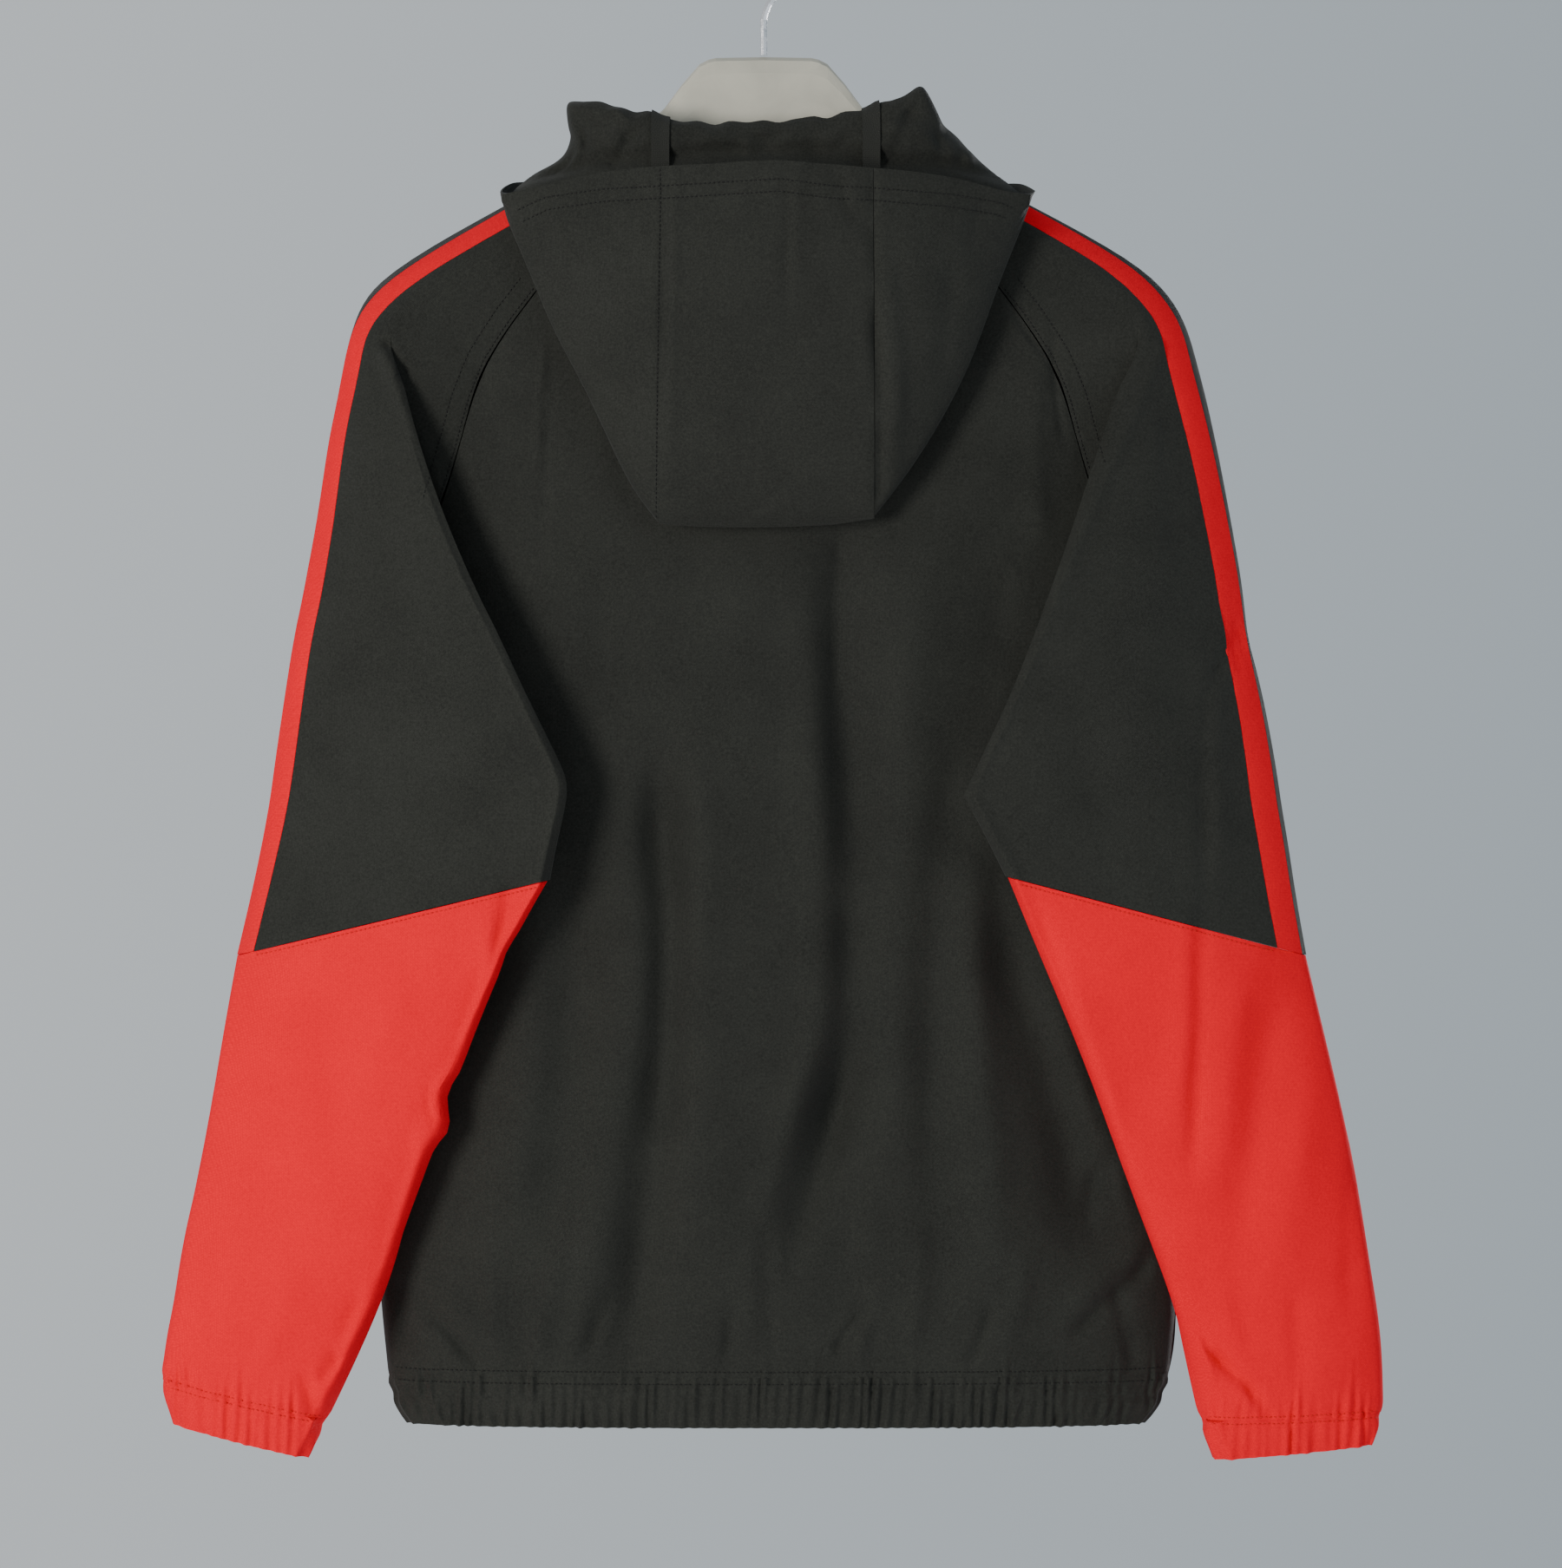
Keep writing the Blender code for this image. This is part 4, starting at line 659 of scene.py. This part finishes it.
def cells_of(node):
    """The solid wall with its triangles joined into cells, and its rim's edges held sharp."""
    bm = bmesh.new()
    bm.from_mesh(NODES[node].data)
    bmesh.ops.remove_doubles(bm, verts=bm.verts, dist=MERGE_WITHIN * MM)
    bmesh.ops.join_triangles(
        bm,
        faces=bm.faces,
        angle_face_threshold=FLAT_ANGLE,
        angle_shape_threshold=math.pi,
    )
    sharpness = bm.edges.layers.float.new("crease_edge")
    for edge in bm.edges:
        if edge.is_manifold and edge.calc_face_angle() > RIM_ANGLE:
            edge[sharpness] = 1.0
    return bm


def rim_points(bm):
    """Points a pitch or so apart along the rim's edges, in millimetres."""
    sharpness = bm.edges.layers.float["crease_edge"]
    points = []
    for edge in bm.edges:
        if edge[sharpness] > 0:
            start, end = edge.verts[0].co, edge.verts[1].co
            count = max(1, int((end - start).length / (RIM_PITCH * MM)))
            points += [start.lerp(end, i / count) for i in range(count + 1)]
    return np.array(points) / MM


def refined(name, bm, steps, material):
    """The wall, subdivided and smoothed."""
    mesh = bpy.data.meshes.new(name)
    bm.to_mesh(mesh)
    bm.free()
    piece = link(name, mesh, material)
    modifier = piece.modifiers.new("cells", "SUBSURF")
    modifier.levels = steps
    modifier.render_levels = steps
    modifier.boundary_smooth = "PRESERVE_CORNERS"
    graph = bpy.context.evaluated_depsgraph_get()
    fine = bpy.data.meshes.new_from_object(piece.evaluated_get(graph))
    piece.modifiers.clear()
    piece.data = fine
    bpy.data.meshes.remove(mesh)
    fine.name = name
    if "custom_normal" in fine.attributes:
        fine.attributes.remove(fine.attributes["custom_normal"])
    bm = bmesh.new()
    bm.from_mesh(fine)
    for edge in bm.edges:
        edge.smooth = edge.calc_face_angle(0) < SHARP_ANGLE
    bm.to_mesh(fine)
    bm.free()
    return piece


def finer_below(piece, level):
    """Halves a piece's cells below a level, where the gathers are narrow."""
    bm = bmesh.new()
    bm.from_mesh(piece.data)
    edges = [e for e in bm.edges if max(v.co.z for v in e.verts) < level * MM]
    bmesh.ops.subdivide_edges(bm, edges=edges, cuts=1, use_grid_fill=True)
    bm.to_mesh(piece.data)
    bm.free()


def on_sides(*names):
    """The names on each side in turn, or once where they name no side."""
    return dict.fromkeys(tuple(name.format(side) for name in names) for side in SIDES)


def first_word(node, table):
    """What a table says of a node, whichever side it is on."""
    for start, value in table.items():
        if node.startswith(start):
            return value
    return None


def places_of(piece):
    """A piece's vertices, in millimetres."""
    places = np.empty(len(piece.data.vertices) * 3)
    piece.data.vertices.foreach_get("co", places)
    return places.reshape(-1, 3) / MM


def move_to(piece, places):
    piece.data.vertices.foreach_set("co", (places * MM).ravel())
    piece.data.update()


def seen(places, side):
    """Where the eye behind or in front sees places: x and down."""
    reach = EYE / (EYE - side * places[:, 1])
    x = EYE_X + (places[:, 0] - EYE_X) * reach
    down = EYE_DOWN + (-places[:, 2] - EYE_DOWN) * reach
    return x, down


def lattice_noise(places, size, seed):
    """Smooth random values from -1 to 1, in blotches about size across."""
    values = np.random.default_rng(seed).uniform(-1, 1, (LATTICE, LATTICE, LATTICE))
    cell = np.floor(places / size).astype(int)
    part = smooth_step(places / size - cell)
    total = np.zeros(len(places))
    for corner in itertools.product((0, 1), repeat=3):
        weight = np.prod(np.where(corner, part, 1 - part), axis=1)
        index = (cell + corner) % LATTICE
        total += weight * values[index[:, 0], index[:, 1], index[:, 2]]
    return total


def blotches(places, table):
    """The sum of a table's random blotches."""
    return sum(height * lattice_noise(places, size, seed) for height, size, seed in table)


class Layers:
    """How deep the outermost cloth lies from behind and from the front, on a grid across x and z."""

    def __init__(self):
        corners = []
        faces = []
        for node in STEPS:
            start = len(corners)
            corners += [v.co / MM for v in NODES[node].data.vertices]
            faces += [[start + i for i in face.vertices] for face in NODES[node].data.polygons]
        tree = BVHTree.FromPolygons(corners, faces)
        self.low = np.array(LAYER_LOW)
        self.count = np.array(LAYER_COUNT)
        self.depth = {side: np.full(self.count, np.nan) for side in (BEHIND, IN_FRONT)}
        for i, j in itertools.product(range(self.count[0]), range(self.count[1])):
            x, z = self.low + np.array((i, j)) * LAYER_CELL
            for side, depth in self.depth.items():
                hit = tree.ray_cast(Vector((x, side * RAY_START, z)), Vector((0, -side, 0)))[0]
                if hit is not None:
                    depth[i, j] = hit[1]

    def share(self, places, side):
        """1 where places are on the outermost layer of a side, fading to 0 where others cover them."""
        cell = np.rint((places[:, (0, 2)] - self.low) / LAYER_CELL).astype(int)
        total = np.zeros(len(places))
        for offset in itertools.product(LAYER_BLUR, repeat=2):
            index = np.clip(cell + offset, 0, self.count - 1)
            depth = self.depth[side][index[:, 0], index[:, 1]]
            gap = np.nan_to_num(side * (depth - places[:, 1]))
            total += smooth_step((LAYER_FAR - gap) / (LAYER_FAR - LAYER_NEAR))
        return total / len(LAYER_BLUR) ** 2


def crease_rise(x, down, table):
    """How far the creases of a table lift the cloth at each place."""
    rise = np.zeros(len(x))
    for index, (x0, down0, x1, down1, width, height) in enumerate(table):
        length = math.hypot(x1 - x0, down1 - down0)
        way = ((x1 - x0) / length, (down1 - down0) / length)
        along = ((x - x0) * way[0] + (down - down0) * way[1]) / length
        across = (x - x0) * way[1] - (down - down0) * way[0]
        near = (along > -CREASE_PAST) & (along < 1 + CREASE_PAST)
        near &= np.abs(across) < CREASE_WIDTHS * width
        along = along[near]
        across = across[near] + CREASE_WAVER * width * np.sin(WAVER_RATE * along + index)
        lean = 1.0 + CREASE_LEAN * math.sin(LEAN_RATE * index)
        spread = width * np.where(across > 0, lean, 2 - lean)
        fade = smooth_step((along - FADE_START) / FADE_IN) * smooth_step((FADE_END - along) / FADE_OUT)
        uneven = 1 + CREASE_UNEVEN * np.sin(UNEVEN_RATE * along + UNEVEN_STEP * index)
        rise[near] += height * fade * uneven * np.exp(-((across / spread) ** 2))
    return rise


def tugged(name, x, down):
    """How far a piece's places are moved to the right and down."""
    moves = np.zeros((len(x), 2))
    for start, at, at_down, reach, right, lower in TUGS:
        if name.startswith(start):
            near = np.exp(-((x - at) ** 2 + (down - at_down) ** 2) / reach**2)
            moves += near[:, None] * (right, lower)
    return moves


def line_rise(x, down, lines):
    """How far the cloth stands up, or falls away, along lines."""
    rise = np.zeros(len(x))
    place = np.stack((x, down), axis=1)
    for line, width, height in lines:
        far = np.full(len(x), np.inf)
        for start, end in zip(np.array(line, dtype=float), np.array(line[1:], dtype=float)):
            way = end - start
            along = np.clip((place - start) @ way / (way @ way), 0, 1)
            far = np.minimum(far, np.linalg.norm(place - start - along[:, None] * way, axis=1))
        rise += height * np.exp(-((far / width) ** 2))
    return rise


def waves(x, middle, table):
    """A value that swings round its middle along x, by the sum of a table's waves."""
    for height, rate, start in table:
        middle = middle + height * np.sin(rate * x + start)
    return middle


def gather_rise(x, down):
    """The elastic's gathers: even in the casing, and fanning out unevenly above the stitching."""
    rise = np.zeros(len(x))
    for line, above, height in ELASTICS:
        xs, downs = np.array(line, dtype=float).T
        under = down - np.interp(x, xs, downs)
        inside = smooth_step((x - xs[0]) / GATHER_ENDS) * smooth_step((xs[-1] - x) / GATHER_ENDS)
        phase = waves(x, 2 * np.pi * x / GATHER_PITCH, PITCH_WAVES)
        ripple = np.sin(phase + GATHER_LEAN * under) * waves(x, SIZE_MIDDLE, SIZE_WAVES)
        ripple += SLOW_HEIGHT * np.sin(SLOW_RATE * phase - SLOW_LEAN * under)
        fan = above * waves(x, FAN_MIDDLE, FAN_WAVES)
        fanned = FAN_GAIN * np.exp(-((under / np.maximum(fan, FAN_LEAST)) ** 2))
        reach = np.where(under > 0, 1.0, fanned)
        reach = reach * (under < CASING_DEPTH)
        sewn = np.exp(-(((np.abs(under) - STITCH_APART / 2) / DENT_WIDTH) ** 2))
        place = np.stack((x, VARY_LONG * down, 0 * x), axis=1)
        vary = VARY_MIDDLE + VARY_BY * lattice_noise(place, VARY_SIZE, VARY_SEED)
        gathers = height * ripple * vary * reach * (1 - DENT_FLATTENS * sewn)
        rise += inside * (gathers - DENT_DEPTH * sewn)
    return rise


def end_shift(x, down, elastics):
    """How far the ends of elastic edges are drawn in sideways, at the stitching and at the foot."""
    shift = np.zeros(len(x))
    for line, _, _ in elastics:
        xs, downs = np.array(line, dtype=float).T
        under = down - np.interp(x, xs, downs)
        middle, half = (xs[0] + xs[-1]) / 2, (xs[-1] - xs[0]) / 2
        near = np.abs(x - middle) < half + END_MARGIN
        ends = near * smooth_step((np.abs(x - middle) / half - END_FROM) / (1 - END_FROM))
        notch = END_NOTCH * np.exp(-((under / NOTCH_HEIGHT) ** 2))
        foot = END_ROUND * np.clip(under / CASING_DEPTH, 0, 1) ** 3
        shift -= np.sign(x - middle) * ends * (notch + foot)
    return shift


def sharp_corners(piece):
    """Which vertices lie on the wall's rim, and points close together along it."""
    sharp = [e.vertices[:] for e in piece.data.edges if e.use_edge_sharp]
    places = places_of(piece)
    ends = places[np.array(sharp)]
    points = np.concatenate([ends[:, 0] * (1 - t) + ends[:, 1] * t for t in EDGE_SHARES])
    return np.unique(np.array(sharp)), points


def tree_of(points):
    tree = kdtree.KDTree(len(points))
    for index, point in enumerate(points):
        tree.insert(point, index)
    tree.balance()
    return tree


def draw_together(piece, other, gap, reach, levels):
    """Draws a piece's rim onto the rim of the piece that it is sewn to."""
    tree = tree_of(sharp_corners(other)[1])
    places = places_of(piece)
    starts = []
    shifts = []
    for index in sharp_corners(piece)[0]:
        target, _, far = tree.find(places[index])
        if far < gap and levels[0] < places[index][2] < levels[1]:
            starts.append(places[index])
            shifts.append(np.array(target) - places[index])
    tree = tree_of(starts)
    for index, place in enumerate(places.copy()):
        _, start, far = tree.find(place)
        if far < reach:
            places[index] += shifts[start] * smooth_step(1 - far / reach)
    move_to(piece, places)


def seam_tree(rims):
    """The places where two pieces' rims meet."""
    trees = {node: tree_of(points) for node, points in rims.items()}
    meets = []
    for node, points in rims.items():
        others = [trees[other] for other in rims if other != node]
        for point in points:
            if any(tree.find(point)[2] < SEAM_REACH for tree in others):
                meets.append(point)
    return tree_of(meets)


def seam_rise(places, tree):
    """The cloth dips into its seams and puckers beside them."""
    far = np.array([tree.find(place)[2] for place in places])
    pucker = lattice_noise(places, PUCKER_SIZE, PUCKER_SEED) * np.exp(-((far / PUCKER_WIDTH) ** 2))
    return PUCKER * pucker - SEAM_DIP * np.exp(-((far / SEAM_WIDTH) ** 2))


def ease(piece, spots):
    """Smooths a piece round the places where its fold begins."""
    places = places_of(piece)
    edges = np.empty(len(piece.data.edges) * 2, dtype=int)
    piece.data.edges.foreach_get("vertices", edges)
    edges = edges.reshape(-1, 2)
    links = np.bincount(edges.ravel(), minlength=len(places))[:, None]
    amount = np.zeros((len(places), 1))
    for spot in spots:
        far = np.linalg.norm(places - spot, axis=1, keepdims=True)
        amount = np.maximum(amount, smooth_step((EASE_REACH - far) / EASE_REACH))
    for _ in range(EASE_TIMES):
        total = np.zeros_like(places)
        np.add.at(total, edges[:, 0], places[edges[:, 1]])
        np.add.at(total, edges[:, 1], places[edges[:, 0]])
        places += amount * (total / links - places)
    move_to(piece, places)


def crease_cloth(piece, layers, seams):
    """Lifts and lowers the outermost layers of a piece along the line of sight."""
    places = places_of(piece)
    soft = blotches(places, UNEVEN) + seam_rise(places, seams)
    moved = places.copy()
    moved[:, (0, 2)] += tugged(piece.name, *seen(places, BEHIND)) * (1, -1)
    if piece.name.startswith(("hem", "back", "front")):
        moved[:, 0] += end_shift(*seen(places, BEHIND), ELASTICS[:1])
    if piece.name.startswith(("cuff", "forearm")):
        moved[:, 0] += end_shift(*seen(places, BEHIND), ELASTICS[1:])
    if piece.name.startswith(("hood", "binding")):
        top = smooth_step((places[:, 2] - RIDGE_LEVEL) / RIDGE_FADE)
        flat = places * (1, 0, 1)
        height, size, seed = RIDGE_WAVE
        moved[:, 2] += height * top * lattice_noise(flat, size, seed)
        soft += top * blotches(flat, CRUMPLES)
    for side, table in ((BEHIND, CREASES_BEHIND), (IN_FRONT, CREASES_IN_FRONT)):
        x, down = seen(places, side)
        rise = crease_rise(x, down, table) + gather_rise(x, down) + soft
        if side == BEHIND and piece.name.startswith(("sleeve_back", "forearm")):
            rise += line_rise(x, down, PRESSED_EDGES)
        if side == BEHIND and piece.name.startswith("hood"):
            rise += line_rise(x, down, (ROLL_GAP,))
        moved[:, 1] += side * rise * layers.share(places, side)
    move_to(piece, moved)


def make_cloth():
    pieces = {}
    rims = {}
    for node, steps in STEPS.items():
        bm = cells_of(node)
        rims[node] = rim_points(bm)
        material = first_word(node, MATERIAL_OF) or "dark_shell"
        piece = refined(f"{node}_cloth", bm, steps, material)
        level = first_word(node, FINER_BELOW)
        if level is not None:
            finer_below(piece, level)
        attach(piece, "garment")
        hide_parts(node)
        pieces[node] = piece
    for node, spots in FOLD_STARTS.items():
        ease(pieces[node], spots)
    for first, second, gap, reach, levels in DRAWN_TO:
        for node, other in on_sides(first, second):
            draw_together(pieces[node], pieces[other], gap, reach, levels)
    layers = Layers()
    seams = seam_tree({n: points for n, points in rims.items() if not n.startswith(CASINGS)})
    for node, piece in pieces.items():
        crease_cloth(piece, layers, seams)
    return pieces, rims, layers


# ---- sewing
class Thread:
    """Short rounded bars, collected into one piece."""

    def __init__(self):
        self.corners = []
        self.faces = []

    def bar(self, start, end, normal, width):
        """A bar from start to end that tapers to both tips; its tips dip into the surface."""
        along = end - start
        side = along.cross(normal).normalized() * width / 2
        up = normal.normalized() * width / 2
        first = len(self.corners)
        self.corners.append(start - up)
        for share in BAR_FULL:
            middle = start.lerp(end, share)
            self.corners += [middle + side, middle + up, middle - side, middle - up]
        self.corners.append(end - up)
        for i in range(4):
            j = (i + 1) % 4
            self.faces.append((first, first + 1 + j, first + 1 + i))
            self.faces.append((first + 1 + i, first + 1 + j, first + 5 + j, first + 5 + i))
            self.faces.append((first + 9, first + 5 + i, first + 5 + j))

    def piece(self, name, material, slot):
        mesh = bpy.data.meshes.new(name)
        mesh.from_pydata([c * MM for c in self.corners], [], self.faces)
        piece = link(name, mesh, material)
        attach(piece, "garment")
        return piece


def spaced(points, pitch):
    """Points along a polyline, one pitch apart."""
    points = np.array(points, dtype=float)
    steps = np.linalg.norm(np.diff(points, axis=0), axis=1)
    lengths = np.concatenate(((0.0,), np.cumsum(steps)))
    at = np.arange(0.0, lengths[-1], pitch)
    return np.stack([np.interp(at, lengths, points[:, i]) for i in (0, 1)], axis=1)


def shifted(points, offset):
    """The polyline, moved sideways: + down where it runs to the right, and left where it runs down."""
    way = np.gradient(points, axis=0)
    way /= np.linalg.norm(way, axis=1, keepdims=True)
    return points + offset * np.stack((-way[:, 1], way[:, 0]), axis=1)


def seam_line(rims, layers, first, second, side, runs):
    """Where the eye on a side sees the seam between two pieces."""
    tree = tree_of(rims[second])
    points = np.array([p for p in rims[first] if tree.find(p)[2] < SEAM_REACH])
    points = points[layers.share(points, side) > SEEN_SHARE]
    line = np.stack(seen(points, side), axis=1)
    key = line[:, 1 if runs == DOWN else 0]
    stretch = np.floor(key / SEAM_STRETCH)
    return np.array([line[stretch == number].mean(axis=0) for number in np.unique(stretch)])


class Eye:
    """Looks at the dressed pieces from behind or from the front."""

    def __init__(self, pieces):
        graph = bpy.context.evaluated_depsgraph_get()
        self.trees = {node: BVHTree.FromObject(piece, graph) for node, piece in pieces.items()}

    def look(self, x, down, side):
        """The nearest piece at a place that the eye sees, the point on it and its normal."""
        start = Vector((EYE_X, side * EYE, -EYE_DOWN)) * MM
        way = (Vector((x, 0.0, -down)) * MM - start).normalized()
        best = None
        for node, tree in self.trees.items():
            point, normal, _, distance = tree.ray_cast(start, way)
            if point is not None and (best is None or distance < best[0]):
                if normal.dot(way) > 0:
                    normal = -normal
                best = (distance, node, point / MM, normal)
        return best


def sew(thread, eye, line, side, names):
    """A row of stitches along a line, where one of the named pieces is the nearest."""
    last = None
    for x, down in spaced(line, STITCH_PITCH):
        found = eye.look(x, down, side)
        if found is None or found[1] not in names:
            last = None
            continue
        point, normal = found[2], found[3]
        if last is not None and (point - last).length < STITCH_JUMP * STITCH_PITCH:
            lift = normal * STITCH_LIFT
            start = last.lerp(point, STITCH_FROM) + lift
            end = last.lerp(point, STITCH_TO) + lift
            thread.bar(start, end, normal, STITCH_WIDTH)
        last = point


def make_sewing(pieces, rims, layers):
    eye = Eye(pieces)
    threads = {"thread_dark": Thread(), "thread_red": Thread()}
    for first, second, side, runs, offsets, colour in ROWS:
        for names in on_sides(first, second):
            line = seam_line(rims, layers, *names, side, runs)
            mirror = -1 if runs == DOWN and names[1].endswith("right") else 1
            for offset in offsets:
                sew(threads[colour], eye, shifted(line, mirror * offset), side, names)
    hood = ("hood_centre", "hood_side_left", "hood_side_right")
    rim = spaced(HOOD_RIM, RIM_STEP)
    for offset in EDGE_ROWS:
        sew(threads["thread_dark"], eye, shifted(rim, offset), BEHIND, hood)
    # The dark stitches are painted darker than the cloth, as painted shade in their holes.
    threads["thread_dark"].piece("sewing_dark", "thread_dark", "shell_dark")
    threads["thread_red"].piece("sewing_red", "thread_red", "shell_red")


def make_teeth():
    """Moulded teeth on the chain's face, in turn from the left and from the right."""
    chain = NODES["zip_chain"]
    graph = bpy.context.evaluated_depsgraph_get()
    tree = BVHTree.FromObject(chain, graph)
    corners = np.array([v.co for v in chain.data.vertices]) / MM
    top, bottom = corners[:, 2].max() - TEETH_END, corners[:, 2].min() + TEETH_END
    high = corners[corners[:, 2] > top - CHAIN_END][:, 0].mean()
    low = corners[corners[:, 2] < bottom + CHAIN_END][:, 0].mean()
    teeth = Thread()
    for index, z in enumerate(np.arange(top, bottom, -TOOTH_PITCH)):
        x = high + (low - high) * (top - z) / (top - bottom)
        x += TOOTH_SWAY if index % 2 else -TOOTH_SWAY
        point = tree.ray_cast(Vector((x, 100.0, z)) * MM, Vector((0, -1, 0)))[0]
        if point is None:
            continue
        middle = point / MM
        half = Vector((TOOTH_WIDTH / 2, 0, 0))
        teeth.bar(middle - half, middle + half, Vector((0, 1, 0)), TOOTH_THICK)
    teeth.piece("zip_teeth", "zip_plastic", "zip_dark")


# ---- hard pieces
HARD_MATERIALS = {
    "hanger": "hanger",
    "hook": "wire",
    "zip_chain": "zip_plastic",
    "zip_slider": "zip_plastic",
    "zip_pull": "zip_plastic",
}


def dress_hard_nodes():
    for node, material in HARD_MATERIALS.items():
        NODES[node].material_slots[0].material = MATERIALS[material]


# ---- stage
def make_floor():
    place = (0, 0, FLOOR_LEVEL)
    bpy.ops.mesh.primitive_circle_add(vertices=96, radius=FLOOR_RADIUS, fill_type="NGON", location=place)
    floor = bpy.context.object
    floor.name = "floor"
    floor.data.materials.append(MATERIALS["floor"])


def make_light(name, place, target, width, power, colour):
    data = bpy.data.lights.new(name, "AREA")
    data.shape = "DISK"
    data.size = width
    data.energy = power
    data.color = colour
    light = bpy.data.objects.new(name, data)
    light.location = place
    light.rotation_euler = (Vector(target) - Vector(place)).to_track_quat("-Z", "Y").to_euler()
    bpy.context.scene.collection.objects.link(light)


def make_world():
    """The room's light, brighter on the left."""
    world = bpy.data.worlds.new("room")
    world.use_nodes = True
    tree = world.node_tree
    background = tree.nodes["Background"]
    place = tree.nodes.new("ShaderNodeTexCoord")
    split = tree.nodes.new("ShaderNodeSeparateXYZ")
    tree.links.new(place.outputs["Generated"], split.inputs[0])
    ramp = tree.nodes.new("ShaderNodeValToRGB")
    share = tree.nodes.new("ShaderNodeMapRange")
    share.inputs["From Min"].default_value = -ROOM_TURN
    share.inputs["From Max"].default_value = ROOM_TURN
    tree.links.new(split.outputs["X"], share.inputs["Value"])
    tree.links.new(share.outputs["Result"], ramp.inputs["Fac"])
    for element, colour in zip(ramp.color_ramp.elements, (ROOM_LEFT, ROOM_RIGHT)):
        element.color = (*colour, 1.0)
    tree.links.new(ramp.outputs["Color"], background.inputs["Color"])
    background.inputs["Strength"].default_value = 1.0
    bpy.context.scene.world = world


def make_camera():
    data = bpy.data.cameras.new("camera")
    data.sensor_fit = "HORIZONTAL"
    data.sensor_width = SENSOR
    data.lens = SENSOR * EYE * MM / FRAME_WIDTH
    camera = bpy.data.objects.new("camera", data)
    camera.location = (EYE_X * MM, BEHIND * EYE * MM, -EYE_DOWN * MM)
    camera.rotation_euler = (math.radians(90), 0, 0)
    bpy.context.scene.collection.objects.link(camera)
    bpy.context.scene.camera = camera


make_camera()
cloth, cloth_rims, cloth_layers = make_cloth()
make_sewing(cloth, cloth_rims, cloth_layers)
make_teeth()
dress_hard_nodes()
make_floor()
make_world()
for light in LIGHTS:
    make_light(*light)
